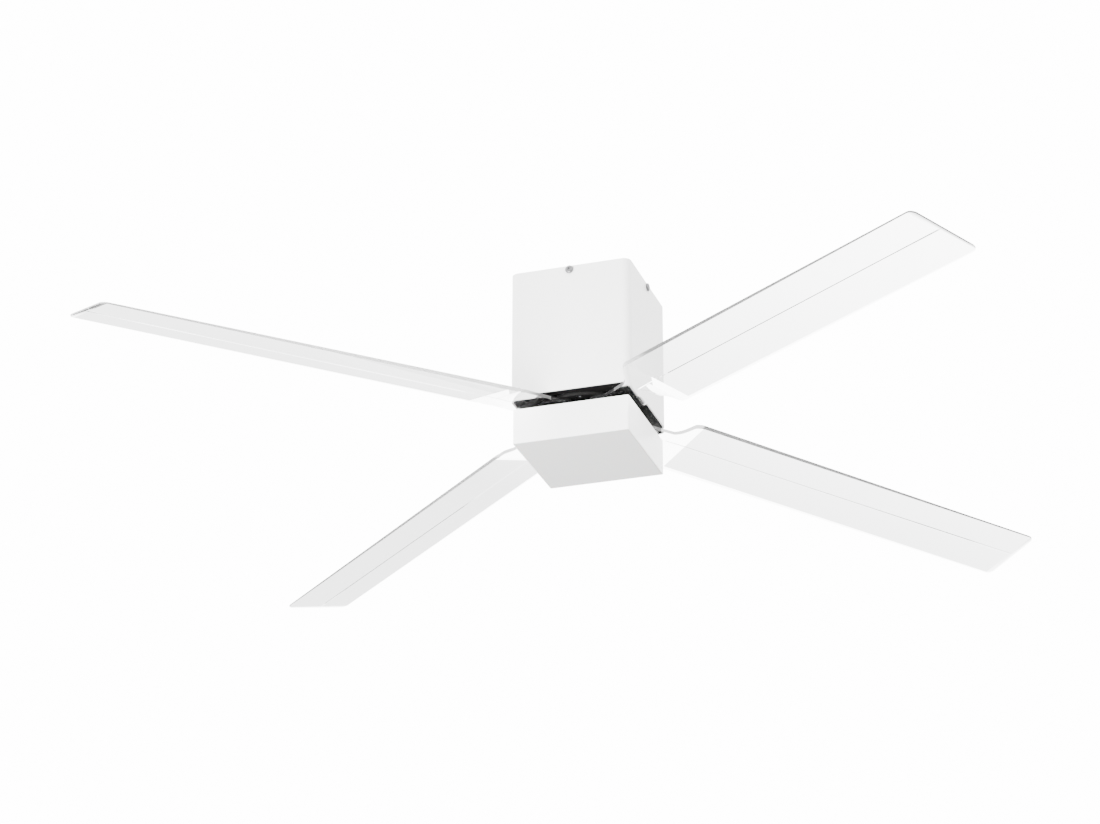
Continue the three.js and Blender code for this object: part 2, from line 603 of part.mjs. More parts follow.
pivotAt.forEach(([x, y], i) => {
  const headTop = retainerBottom - SEAT_GAP;
  rotor.add(piece("pivot_pin_" + (i + 1), steel,
    [
      rod(PIVOT_RADIUS, carrierTop - SEAT_GAP, headTop - WELD, x, y),
      rod(PIVOT_HEAD_RADIUS, headTop, pivotHeadBottom, x, y),
    ],
    [rod(PIVOT_HEAD_RADIUS * HEX_RECESS, pivotHeadBottom + PIVOT_HEAD_HEIGHT / 2,
      pivotHeadBottom - OVERCUT, x, y, HEX_SIDES)]));
});

// ---- Gears ----
// One tooth's outline, centred on an angle.
const polar = (r, a) => new THREE.Vector2(r * Math.cos(a), r * Math.sin(a));
const toothStep = (2 * Math.PI) / TEETH;
function tooth(angle) {
  const half = (toothStep * TOOTH_SHARE) / 2;
  const root = half * TOOTH_ROOT_SHARE;
  const tip = half * TOOTH_TIP_SHARE;
  return [polar(toothRoot, angle - root), polar(toothTip, angle - tip),
    polar(toothTip, angle + tip), polar(toothRoot, angle + root)];
}
const gearOutline = Array.from({ length: TEETH }, (_, i) => tooth(i * toothStep)).flat();
rotor.add(piece("sync_gear", castMetal,
  prism(gearOutline, hubTop, hubBottom, [circle(bossRadius + SEAT_GAP, MEDIUM_SIDES)])));

// A blade's metal hub: a plate under the carrier, toothed on the side of the fan's axis.
function hubOutline() {
  const flank = rad(HUB_FLANK);
  const first = Math.ceil((Math.PI - rad(SWING + MESH_SPARE)) / toothStep);
  const last = Math.floor((Math.PI + rad(MESH_SPARE)) / toothStep);
  const teethEnd = (last + 1) * toothStep;
  const bare = 2 * Math.PI - flank - teethEnd;
  const points = arc(0, 0, eyeRadius - SEAT_GAP, -flank, flank, COARSE_SIDES);
  for (let i = first; i <= last; i++) points.push(...tooth((i + 0.5) * toothStep));
  return points.concat(
    arc(0, 0, toothRoot, teethEnd + bare / 4, teethEnd + (bare * 3) / 4, 2));
}

function arc(cx, cy, radius, from, to, steps) {
  return Array.from({ length: steps + 1 }, (_, i) => {
    const a = from + ((to - from) * i) / steps;
    return new THREE.Vector2(cx + radius * Math.cos(a), cy + radius * Math.sin(a));
  });
}

// The hub's slot for the carrier's stop: an arc round the pivot with rounded ends.
function stopSlot() {
  const width = STOP_RADIUS + SEAT_GAP;
  const from = rad(STOP_ANGLE - SWING);
  const to = rad(STOP_ANGLE);
  const endStep = Math.PI / HEX_SIDES;
  const endRadius = width / Math.cos(endStep / 2);
  const end = (a, start) => arc(STOP_REACH * Math.cos(a), STOP_REACH * Math.sin(a), endRadius,
    a + start + endStep, a + start + Math.PI - endStep, HEX_SIDES - 2);
  return [
    ...arc(0, 0, STOP_REACH + width, from, to, HEX_SIDES - 1),
    ...end(to, 0),
    ...arc(0, 0, STOP_REACH - width, to, from, HEX_SIDES - 1),
    ...end(from, Math.PI),
  ];
}

const bushRadius = PIVOT_RADIUS + SEAT_GAP + BUSH_WALL;
const bladeScrews = [-1, 1]
  .map((side) => [BLADE_SCREW_FORWARD, side * (eyeRadius - BLADE_SCREW_MARGIN)]);

// ---- Blade: sections across the blade, from the round eye to the tip ----
const shoulderStart = bendStart + NECK_END;
const panelStart = shoulderStart + LEADING_SHOULDER;
const neckLeading = eyeRadius - NECK_CUT;
const neckStart = pivotCircle + Math.sqrt(eyeRadius ** 2 - neckLeading ** 2);
const panelEnd = BLADE_TIP - TIP_ROUND;
const ribEnd = BLADE_TIP - RIB_END;
const EYE_STATIONS = [14, 30, 48, 68, 90, 112]; // degrees round the eye, from its inner end
const TIP_STATIONS = [30, 60, 90]; // degrees round the tip's corners

// The neck narrows behind the eye on its leading side, then each side widens to the panel.
function bladeHalfWidths(u) {
  const eye = Math.sqrt(Math.max(0, eyeRadius ** 2 - (u - pivotCircle) ** 2));
  const sides = [
    [neckLeading, neckStart, LEADING_SHOULDER, BLADE_LEADING],
    [eyeRadius, pivotCircle, TRAILING_SHOULDER, BLADE_TRAILING],
  ];
  return sides.map(([neck, start, shoulder, full]) => {
    if (u < start) return eye;
    const share = THREE.MathUtils.clamp((u - shoulderStart) / shoulder, 0, 1);
    const round = Math.max(0, u - panelEnd);
    const cut = TIP_ROUND - Math.sqrt(Math.max(0, TIP_ROUND ** 2 - round ** 2));
    return THREE.MathUtils.lerp(neck, full, share) - cut;
  });
}

function bladeStations() {
  const eye = EYE_STATIONS.map((a) => pivotCircle - eyeRadius * Math.cos(rad(a)));
  const panelMiddle = (panelStart + panelEnd) / 2;
  const tip = TIP_STATIONS.map((a) => panelEnd + TIP_ROUND * Math.sin(rad(a)));
  const all = [...eye, neckStart, bendStart, shoulderStart, bendStart + BEND_LENGTH / 2,
    shoulderStart + TRAILING_SHOULDER, bendStart + BEND_LENGTH, panelStart, panelMiddle,
    panelEnd, ribEnd, ...tip];
  return [...new Set(all)].sort((a, b) => a - b);
}

function bladeSection(u) {
  const [lead, trail] = bladeHalfWidths(u);
  const bend = THREE.MathUtils.clamp((u - bendStart) / BEND_LENGTH, 0, 1);
  const { lerp, clamp } = THREE.MathUtils;
  const rootShare = clamp((u - bendStart) / (panelStart - bendStart), 0, 1);
  const tipShare = clamp((u - panelStart) / (BLADE_TIP - panelStart), 0, 1);
  const panelThickness = lerp(BLADE_PANEL_THICKNESS, BLADE_TIP_THICKNESS, tipShare);
  const thickness = lerp(BLADE_ROOT_THICKNESS, panelThickness, rootShare);
  const sag = Math.max(0, u - bendStart) * Math.tan(rad(BLADE_DROOP));
  const slope = Math.tan(rad(BLADE_PITCH)) * bend;
  const rib = u > bendStart && u < ribEnd ? RIB_HEIGHT : 0;
  const low = (v) => neckBottom - sag - v * slope;
  const line = [-lead, -RIB_OFFSET - RIB_WIDTH / 2, -RIB_OFFSET - RIB_WIDTH / 4,
    -RIB_OFFSET + RIB_WIDTH / 4, -RIB_OFFSET + RIB_WIDTH / 2, trail];
  const under = line.map((v, i) => [u, v, low(v) - (i === 2 || i === 3 ? rib : 0)]);
  const over = [-lead, -RIB_OFFSET, trail].map((v) => [u, v, low(v) + thickness]);
  return [...under, ...over.reverse()];
}

function bladeBody() {
  const sections = bladeStations().map(bladeSection);
  const n = sections[0].length;
  const positions = sections.flat(2);
  const index = [];
  for (let s = 0; s + 1 < sections.length; s++) {
    for (let i = 0; i < n; i++) {
      const a = s * n + i;
      const b = s * n + ((i + 1) % n);
      index.push(a, b, b + n, a, b + n, a + n);
    }
  }
  const last = (sections.length - 1) * n;
  // Each end is a fan over the underside, closed by the three points of the upper side.
  const cap = [[0, 1, 8], [1, 2, 8], [2, 7, 8], [2, 3, 7], [3, 4, 7], [4, 5, 7], [5, 6, 7]];
  for (const [a, b, c] of cap) {
    index.push(a, c, b);
    index.push(last + a, last + b, last + c);
  }
  const g = new THREE.BufferGeometry();
  g.setAttribute("position", new THREE.Float32BufferAttribute(positions, 3));
  g.setIndex(index);
  return g;
}

quarters.forEach((a, i) => {
  const number = i + 1;
  const arm = new THREE.Group();
  arm.rotation.z = a;
  rotor.add(arm);
  const onPivot = (geometry) => geometry.translate(pivotCircle, 0, 0);

  arm.add(piece("blade_" + number, clearAcrylic, bladeBody(), [
    onPivot(drilled(bushRadius + SEAT_GAP, neckTop, neckBottom)),
    ...bladeScrews.flatMap(([x, y]) => [
      onPivot(drilled(screwHole(BLADE_SCREW_RADIUS), neckTop, neckBottom, x, y, SMALL_SIDES)),
      onPivot(rod(screwHole(BLADE_SCREW_HEAD), neckBottom + BLADE_SCREW_SINK,
        neckBottom - OVERCUT, x, y, SMALL_SIDES)),
    ]),
  ]));

  arm.add(piece("blade_hub_" + number, castMetal,
    [
      onPivot(prism(hubOutline(), hubTop, hubBottom, [stopSlot()])),
      onPivot(rod(bushRadius, hubTop - WELD, neckBottom)),
    ],
    [
      onPivot(drilled(screwHole(PIVOT_RADIUS), hubTop, neckBottom)),
      ...bladeScrews.map(([x, y]) =>
        onPivot(drilled(screwHole(BLADE_SCREW_RADIUS), hubTop, hubBottom, x, y, SMALL_SIDES))),
    ]));

  bladeScrews.forEach(([x, y], side) => {
    const headTop = neckBottom + BLADE_SCREW_SINK - SEAT_GAP;
    arm.add(piece("blade_screw_" + number + (side ? "b" : "a"), steel,
      [
        onPivot(rod(BLADE_SCREW_HEAD, headTop, neckBottom, x, y)),
        onPivot(rod(BLADE_SCREW_RADIUS, hubTop - SEAT_GAP, headTop - WELD, x, y, SMALL_SIDES)),
      ],
      [onPivot(rod(BLADE_SCREW_HEAD * HEX_RECESS, neckBottom + BLADE_SCREW_SINK / 2,
        neckBottom - OVERCUT, x, y, HEX_SIDES))]));
  });
});

// ---- Nuts on the spindle ----
function hexNut(name, radius, top, bottom) {
  return piece(name, zinc, prism(circle(radius, HEX_SIDES), top, bottom, [circle(spindleHole, HOLE_SIDES)]));
}
fan.add(hexNut("rotor_nut", nutRadius, lowerLedge, lowerLedge - ROTOR_NUT_HEIGHT));
fan.add(hexNut("light_lock_nut", LIGHT_NUT_RADIUS, retainerBottom - TURNING_GAP,
  lightTop + SEAT_GAP));
fan.add(hexNut("light_nut", LIGHT_NUT_RADIUS, lightNutTop, lightNutTop - LIGHT_NUT_HEIGHT));
fan.add(piece("light_clamp_plate", zinc,
  prism(circle(CLAMP_RADIUS, FINE_SIDES), clampTop, clampBottom, [circle(spindleHole, HOLE_SIDES)])));

// ---- Light housing ----
const lightInnerRadius = LIGHT_EDGE_RADIUS - LIGHT_WALL;
const postReach = lightInner - POST_MARGIN;
const postAt = [[1, 1], [-1, 1], [-1, -1], [1, -1]].map(([x, y]) => [x * postReach, y * postReach]);
const postBottom = trayTop + SEAT_GAP;
fan.add(piece("light_housing", whitePaint,
  [
    prism(roundedSquare(halfBody, LIGHT_EDGE_RADIUS), lightTop, lightTop - LIGHT_TOP),
    prism(roundedSquare(halfBody, LIGHT_EDGE_RADIUS), lightTop, lightBottom,
      [roundedSquare(lightInner, lightInnerRadius)]),
    ...postAt.map(([x, y]) => rod(POST_RADIUS, lightTop - WELD, postBottom, x, y, SMALL_SIDES)),
  ],
  [
    drilled(spindleHole, lightTop, lightTop - LIGHT_TOP, 0, 0, MEDIUM_SIDES),
    ...postAt.map(([x, y]) => rod(screwHole(TRAY_SCREW_RADIUS), postBottom + POST_HEIGHT / 2,
      postBottom - OVERCUT, x, y, SMALL_SIDES)),
  ]));

fan.add(piece("led_tray", whitePaint,
  prism(roundedSquare(lightInner - TRAY_MARGIN, lightInnerRadius), trayTop, trayBottom,
    [rectangle(TRAY_SLOT.width, TRAY_SLOT.depth, 0, -TRAY_SLOT.offset)]),
  postAt.map(([x, y]) => drilled(screwHole(TRAY_SCREW_RADIUS), trayTop, trayBottom,
    x, y, SMALL_SIDES))));

postAt.forEach(([x, y], i) => {
  const headTop = trayBottom - SEAT_GAP;
  const tip = postBottom + POST_HEIGHT / 2 - OVERCUT;
  fan.add(piece("tray_screw_" + (i + 1), steel, [
    rod(TRAY_SCREW_RADIUS, tip, headTop - WELD, x, y, SMALL_SIDES),
    rod(TRAY_SCREW_HEAD, headTop, headTop - TRAY_SCREW_RADIUS, x, y, SMALL_SIDES),
  ]));
});

const boardSide = (postReach - LED_BOARD_MARGIN) * 2;
const ledLine = Array.from({ length: LED.rows }, (_, i) => (i - (LED.rows - 1) / 2) * LED.spacing);
fan.add(piece("led_board", boardWhite, [
  block(boardSide, boardSide, boardTop, boardBottom),
  ...ledLine.flatMap((x) => ledLine.map((y) =>
    block(LED.size, LED.size, boardBottom + LED.sink, boardBottom - LED.height, x, y))),
]));

const driverBottom = trayTop + SEAT_GAP;
const driverAt = lightInner - LED_DRIVER_MARGIN - LED_DRIVER.depth / 2;
fan.add(piece("led_driver", palePlastic,
  block(LED_DRIVER.width, LED_DRIVER.depth, driverBottom + LED_DRIVER.height, driverBottom,
    0, driverAt)));

const diffuserHalf = lightInner - SEAT_GAP;
const diffuserRadius = lightInnerRadius - SEAT_GAP;
fan.add(piece("diffuser", opalAcrylic,
  prism(roundedSquare(diffuserHalf, diffuserRadius), lightBottom + DIFFUSER_HEIGHT, lightBottom),
  [prism(roundedSquare(diffuserHalf - DIFFUSER_WALL, diffuserRadius / 2),
    lightBottom + DIFFUSER_HEIGHT + OVERCUT, lightBottom + DIFFUSER_FACE)]));

// ---- Lead from the receiver through the spindle to the light's driver ----
const receiverBottom = receiverTop - RECEIVER.height;
const leadStart = receiverAt - RECEIVER.depth / 4;
const windowMiddle = windowTop - WINDOW_HEIGHT / 2;
const driverFace = driverAt - LED_DRIVER.depth / 2;
const driverMiddle = driverBottom + LED_DRIVER.height / 2;
const inBore = (share) => [0, 0, THREE.MathUtils.lerp(windowMiddle, spindleBottom, share)];
const leadPath = new THREE.CatmullRomCurve3([
  [0, leadStart, receiverBottom - SEAT_GAP],
  [0, leadStart, receiverBottom - 6],
  [0, leadStart * 0.55, windowMiddle + 7],
  [0, SHOULDER_RADIUS * 0.7, windowMiddle + 1],
  ...[0.1, 0.3, 0.55, 0.85].map(inBore),
  [0, 0, spindleBottom - LEAD_RADIUS / 2],
  [0, driverFace * 0.45, driverMiddle - 2],
  [0, driverFace - 6, driverMiddle],
  [0, driverFace - SEAT_GAP, driverMiddle],
].map((p) => new THREE.Vector3(...p)), false, "centripetal");
const LEAD_STEPS = 36;
fan.add(piece("light_lead", leadSleeve, new THREE.ExtrudeGeometry(
  new THREE.Shape(circle(LEAD_RADIUS, HEX_SIDES)),
  { steps: LEAD_STEPS, bevelEnabled: false, extrudePath: leadPath })));

export default fan;
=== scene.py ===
import json
import math

import bmesh
import bpy
from mathutils import Matrix, Vector


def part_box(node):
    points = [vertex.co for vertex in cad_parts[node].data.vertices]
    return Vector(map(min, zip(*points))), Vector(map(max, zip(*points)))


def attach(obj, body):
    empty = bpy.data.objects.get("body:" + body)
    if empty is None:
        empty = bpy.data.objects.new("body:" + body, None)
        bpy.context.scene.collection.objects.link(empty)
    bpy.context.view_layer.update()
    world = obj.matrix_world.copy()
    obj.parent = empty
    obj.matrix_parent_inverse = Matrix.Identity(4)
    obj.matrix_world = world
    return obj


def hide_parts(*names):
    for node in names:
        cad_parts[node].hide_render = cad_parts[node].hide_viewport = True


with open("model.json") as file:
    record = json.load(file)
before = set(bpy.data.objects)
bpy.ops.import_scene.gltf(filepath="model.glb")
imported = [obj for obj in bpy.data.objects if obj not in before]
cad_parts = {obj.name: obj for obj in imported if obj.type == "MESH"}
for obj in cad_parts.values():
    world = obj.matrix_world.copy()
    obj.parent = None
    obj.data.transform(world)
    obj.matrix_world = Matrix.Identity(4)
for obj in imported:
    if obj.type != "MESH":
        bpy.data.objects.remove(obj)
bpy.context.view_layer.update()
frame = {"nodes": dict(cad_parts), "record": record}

# Ceiling fan: a square white canopy and light box, and four clear blades in the slot between them.
# Sizes are in millimetres and match the solids of the frame; MM turns them into metres.
MM = 0.001
scene = bpy.context.scene
record = frame["record"]
SLOT_OF = {row["node"]: row["material_slot"] for row in record["subparts"]}
BODY_OF = {node: body for body, nodes in record["behaviour"]["bodies"].items() for node in nodes}


def low(node, axis=2):
    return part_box(node)[0][axis] / MM


def high(node, axis=2):
    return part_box(node)[1][axis] / MM


# ---- Sizes shared by the pieces ----
CANOPY_HALF = high("canopy", 0)
CANOPY_TOP = high("canopy")
CANOPY_BOTTOM = low("canopy")
CANOPY_WALL = 2.0
CANOPY_EDGE = 9.0  # radius of the upright edges
CANOPY_RIM = 0.5  # radius of the sheet's own edges, as in every name that ends in RIM
SCREW_GAP = 0.3
CANOPY_HEAD = 5.0  # radius, as with the shank and with every hole
CANOPY_HEAD_HEIGHT = 2.8
CANOPY_SHANK = 2.4
CANOPY_SCREW_LENGTH = 7.5
CANOPY_SCREW_LEVEL = (high("canopy_screw_1") + low("canopy_screw_1")) / 2

FLOOR_HALF = high("canopy_floor", 0)
FLOOR_EDGE = 6.7
FLOOR_BOTTOM = low("canopy_floor")
FLOOR_SHEET = 2.0
FLOOR_RIM = 0.25
FLOOR_RIM_TOP = high("canopy_floor")
ROTOR_WINDOW = 60.5

LIGHT_HALF = high("light_housing", 0)
LIGHT_TOP = high("light_housing")
LIGHT_BOTTOM = low("light_housing")
LIGHT_WALL = 1.4
LIGHT_ROOF = 2.0
LIGHT_EDGE = 2.5
LIGHT_RIM = 0.45
POST_INSET = 11.6  # from the inner side of the wall to the middle of a post
POST_REACH = LIGHT_HALF - LIGHT_WALL - POST_INSET
POST_RADIUS = 4.0
POST_BOTTOM = high("led_tray") + SCREW_GAP
SPINDLE_HOLE = 8.3
DIFFUSER_GAP = 0.3
DIFFUSER_HEIGHT = 11.0
DIFFUSER_WALL = 2.0
DIFFUSER_FACE = 2.5
DIFFUSER_CORNER = 0.8
DISH_CORNER = 0.4
DIFFUSER_RIM = 0.3

# The blades' pivots, from the joint of the first blade.
FIRST_PIVOT = next(Vector(row["pos_m"]) for row in record["behaviour"]["joints"]
                   if row["name"] == "blade_swing_1")
PIVOT_CIRCLE = math.hypot(FIRST_PIVOT.x, FIRST_PIVOT.y) / MM
BLADE_ANGLE = math.atan2(FIRST_PIVOT.y, FIRST_PIVOT.x)
EYE = 28.0  # radius of the round end of a neck, about its pivot
EYE_BULGE = (10.5, -0.927 * EYE)  # a point where the eye's round side runs towards the neck
NECK_BEGINS = 16.0  # from the pivot, on the leading side
NECK_LEAD = -23.5
NECK_BOTTOM = low("blade_hub_1")
BUSH_HOLE = 6.8
BLADE_SCREW_AT = PIVOT_CIRCLE + 7.0
BLADE_SCREW_SIDE = EYE - 6.5
BLADE_HEAD = 3.6
BLADE_SHANK = 2.0
BLADE_SCREW_LENGTH = 5.5
BLADE_HEAD_SINK = 2.0
BEND_FROM = 106.0
NECK_TO = 112.0
LEAD_LEAVES_SLOT = 87.0
TRAIL_LEAVES_SLOT = 71.0
TWIST_TO = 127.0
TWIST_STEPS = 14
OPEN_TO = 138.0
PANEL_CUTS = range(160, 640, 80)
LEAD_SHOULDER = 129.0
TRAIL_SHOULDER = 125.0
BLADE_TIP = 646.0
BLADE_LEAD = -42.0
BLADE_TRAIL = 45.0
ROOT_THICK = 4.0
PANEL_THICK = 5.2
TIP_THICK = 2.0
BLADE_RIM = 0.35
RIB_AT = -3.0
RIB_FROM = BEND_FROM
RIB_TO = 640.0
RIB_END_SLOPE = 1.5
RIB_HEIGHT = 0.7
RIB_FOOT = 0.8
RIB_CREST = 0.4
PITCH = math.tan(math.radians(12.3))
DROOP = math.tan(math.radians(3.0))


# ---- Meshes ----
MERGE_DISTANCE = 1e-7  # in metres, as is the next one, which is for the frame's solids
SOLID_MERGE_DISTANCE = 2e-6
LARGE_FACE = 300 * MM * MM  # a face above this stays flat, so a clear panel bends nothing behind it


def square_face(bm, half, radius, level, segments=8):
    """A square outline with rounded corners, as one face."""
    made = bmesh.ops.create_grid(bm, x_segments=1, y_segments=1, size=half * MM)
    bmesh.ops.translate(bm, verts=made["verts"], vec=(0, 0, level * MM))
    before = set(bm.faces) - set(made["verts"][0].link_faces)
    bmesh.ops.bevel(bm, geom=made["verts"], offset=radius * MM, offset_type="OFFSET",
                    segments=segments, profile=0.5, affect="VERTICES", material=-1,
                    clamp_overlap=False)
    return (set(bm.faces) - before).pop()


def round_face(bm, radius, level, sides=96):
    made = bmesh.ops.create_circle(bm, cap_ends=True, radius=radius * MM, segments=sides,
                                   matrix=Matrix.Translation((0, 0, level * MM)))
    return made["verts"][0].link_faces[0]


def raise_faces(bm, faces, depth):
    """Extrudes flat faces along Z by depth and closes the form."""
    made = bmesh.ops.extrude_face_region(bm, geom=faces)
    moved = [g for g in made["geom"] if isinstance(g, bmesh.types.BMVert)]
    bmesh.ops.translate(bm, verts=moved, vec=(0, 0, depth * MM))
    bmesh.ops.recalc_face_normals(bm, faces=bm.faces[:])


def soften(bm, width, segments=2, angle=60.0):
    """Rounds every edge sharper than angle."""
    sharp = [e for e in bm.edges if e.is_manifold and e.calc_face_angle() > math.radians(angle)]
    bmesh.ops.bevel(bm, geom=sharp, offset=width * MM, offset_type="OFFSET", segments=segments,
                    profile=0.5, affect="EDGES", material=-1, clamp_overlap=True)


def frame_between(bm, outer, inner):
    """Joins the borders of two faces in one plane into a flat frame, and drops the faces."""
    edges = list(outer.edges) + list(inner.edges)
    bmesh.ops.delete(bm, geom=[outer, inner], context="FACES_ONLY")
    return bmesh.ops.bridge_loops(bm, edges=edges)["faces"]


def turned(profile, sides=48):
    """Spins a profile of (radius, level) pairs, from axis to axis, round the Z axis."""
    bm = bmesh.new()
    ring = [bm.verts.new((r * MM, 0, z * MM)) for r, z in profile]
    edges = [bm.edges.new(pair) for pair in zip(ring, ring[1:])]
    bmesh.ops.spin(bm, geom=ring + edges, cent=(0, 0, 0), axis=(0, 0, 1), angle=2 * math.pi,
                   steps=sides, use_merge=True)
    bmesh.ops.remove_doubles(bm, verts=bm.verts[:], dist=MERGE_DISTANCE)
    bmesh.ops.recalc_face_normals(bm, faces=bm.faces[:])
    return bm


def rods(places, radius, top, bottom, sides=32):
    """Upright cylinders at the given (x, y) places, in one mesh."""
    bm = bmesh.new()
    for x, y in places:
        spot = Matrix.Translation((x * MM, y * MM, (top + bottom) / 2 * MM))
        bmesh.ops.create_cone(bm, cap_ends=True, segments=sides, radius1=radius * MM,
                              radius2=radius * MM, depth=abs(top - bottom) * MM, matrix=spot)
    return bm


def join(base, *parts):
    """Adds the other meshes to the first one."""
    for part in parts:
        loose = bpy.data.meshes.new("loose")
        part.to_mesh(loose)
        part.free()
        base.from_mesh(loose)
        bpy.data.meshes.remove(loose)
    return base


def place(bm, matrix):
    bmesh.ops.transform(bm, matrix=matrix, verts=bm.verts[:])
    return bm


def about_z(angle):
    return Matrix.Rotation(angle, 4, "Z")


def object_of(name, bm):
    mesh = bpy.data.meshes.new(name)
    bm.to_mesh(mesh)
    bm.free()
    thing = bpy.data.objects.new(name, mesh)
    scene.collection.objects.link(thing)
    return thing


def cut(bm, *tools):
    """Cuts the tools' forms out of a mesh."""
    work = object_of("cut_work", bm)
    for tool in tools:
        knife = object_of("cut_tool", tool)
        step = work.modifiers.new("cut", "BOOLEAN")
        step.operation = "DIFFERENCE"
        step.solver = "EXACT"
        step.object = knife
        graph = bpy.context.evaluated_depsgraph_get()
        result = bpy.data.meshes.new_from_object(work.evaluated_get(graph))
        work.modifiers.clear()
        bpy.data.meshes.remove(knife.data)
        old = work.data
        work.data = result
        bpy.data.meshes.remove(old)
    out = bmesh.new()
    out.from_mesh(work.data)
    bpy.data.meshes.remove(work.data)
    bmesh.ops.remove_doubles(out, verts=out.verts[:], dist=MERGE_DISTANCE)
    return out


def piece(name, bm, materials, *nodes, smooth=32.0):
    """A finished piece: its shading, materials and body, with the nodes it stands for hidden."""
    for face in bm.faces:
        face.smooth = True
    thing = object_of(name, bm)
    for material in materials:
        thing.data.materials.append(material)
    thing.data.set_sharp_from_angle(angle=math.radians(smooth))
    for polygon in thing.data.polygons:
        polygon.use_smooth = polygon.area < LARGE_FACE
    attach(thing, BODY_OF[nodes[0]])
    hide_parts(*nodes)
    return thing


# ---- Shader groups ----
def new_group(name, inputs, outputs):
    group = bpy.data.node_groups.new(name, "ShaderNodeTree")
    for label, kind, value in inputs:
        socket = group.interface.new_socket(name=label, in_out="INPUT", socket_type=kind)
        socket.default_value = value
    for label, kind in outputs:
        group.interface.new_socket(name=label, in_out="OUTPUT", socket_type=kind)
    return group, group.nodes.new("NodeGroupInput"), group.nodes.new("NodeGroupOutput")


def add(tree, kind, **settings):
    node = tree.nodes.new(kind)
    for key, value in settings.items():
        setattr(node, key, value)
    return node


def uneven_finish():
    """Colour and roughness that drift a little over the surface, with a fine grain as height."""
    group, given, out = new_group(
        "uneven_finish",
        [("Color", "NodeSocketColor", (0.8, 0.8, 0.8, 1)),
         ("Tone Change", "NodeSocketFloat", 0.05),
         ("Patch Scale", "NodeSocketFloat", 12.0),
         ("Roughness", "NodeSocketFloat", 0.4),
         ("Roughness Change", "NodeSocketFloat", 0.1),
         ("Grain Scale", "NodeSocketFloat", 900.0)],
        [("Color", "NodeSocketColor"), ("Roughness", "NodeSocketFloat"),
         ("Height", "NodeSocketFloat")])
    link = group.links.new
    where = add(group, "ShaderNodeTexCoord")
    patches = add(group, "ShaderNodeTexNoise")
    patches.inputs["Detail"].default_value = 4.0
    grain = add(group, "ShaderNodeTexNoise")
    grain.inputs["Detail"].default_value = 2.0
    link(where.outputs["Object"], patches.inputs["Vector"])
    link(given.outputs["Patch Scale"], patches.inputs["Scale"])
    link(where.outputs["Object"], grain.inputs["Vector"])
    link(given.outputs["Grain Scale"], grain.inputs["Scale"])

    centred = add(group, "ShaderNodeMath", operation="SUBTRACT")
    centred.inputs[1].default_value = 0.5
    link(patches.outputs["Fac"], centred.inputs[0])

    tone = add(group, "ShaderNodeMath", operation="MULTIPLY_ADD")
    tone.inputs[2].default_value = 1.0
    link(centred.outputs[0], tone.inputs[0])
    link(given.outputs["Tone Change"], tone.inputs[1])
    shade = add(group, "ShaderNodeVectorMath", operation="SCALE")
    link(given.outputs["Color"], shade.inputs[0])
    link(tone.outputs[0], shade.inputs["Scale"])
    link(shade.outputs[0], out.inputs["Color"])

    rough = add(group, "ShaderNodeMath", operation="MULTIPLY_ADD", use_clamp=True)
    link(centred.outputs[0], rough.inputs[0])
    link(given.outputs["Roughness Change"], rough.inputs[1])
    link(given.outputs["Roughness"], rough.inputs[2])
    link(rough.outputs[0], out.inputs["Roughness"])
    link(grain.outputs["Fac"], out.inputs["Height"])
    return group


def ruled_lines():
    """Even lines along one direction, for laminations, windings and brushed metal."""
    group, given, out = new_group(
        "ruled_lines",
        [("Direction", "NodeSocketVector", (0, 0, 1)),
         ("Lines Per Metre", "NodeSocketFloat", 1000.0),
         ("Waver", "NodeSocketFloat", 0.0)],
        [("Mask", "NodeSocketFloat")])
    link = group.links.new
    where = add(group, "ShaderNodeTexCoord")
    along = add(group, "ShaderNodeVectorMath", operation="DOT_PRODUCT")
    link(where.outputs["Object"], along.inputs[0])
    link(given.outputs["Direction"], along.inputs[1])
    drift = add(group, "ShaderNodeTexNoise")
    drift.inputs["Scale"].default_value = 60.0
    link(where.outputs["Object"], drift.inputs["Vector"])
    phase = add(group, "ShaderNodeMath", operation="MULTIPLY")
    link(along.outputs["Value"], phase.inputs[0])
    link(given.outputs["Lines Per Metre"], phase.inputs[1])
    moved = add(group, "ShaderNodeMath", operation="MULTIPLY_ADD")
    link(drift.outputs["Fac"], moved.inputs[0])
    link(given.outputs["Waver"], moved.inputs[1])
    link(phase.outputs[0], moved.inputs[2])
    wave = add(group, "ShaderNodeMath", operation="PINGPONG")
    wave.inputs[1].default_value = 1.0
    link(moved.outputs[0], wave.inputs[0])
    link(wave.outputs[0], out.inputs["Mask"])
    return group


UNEVEN = uneven_finish()
RULED = ruled_lines()


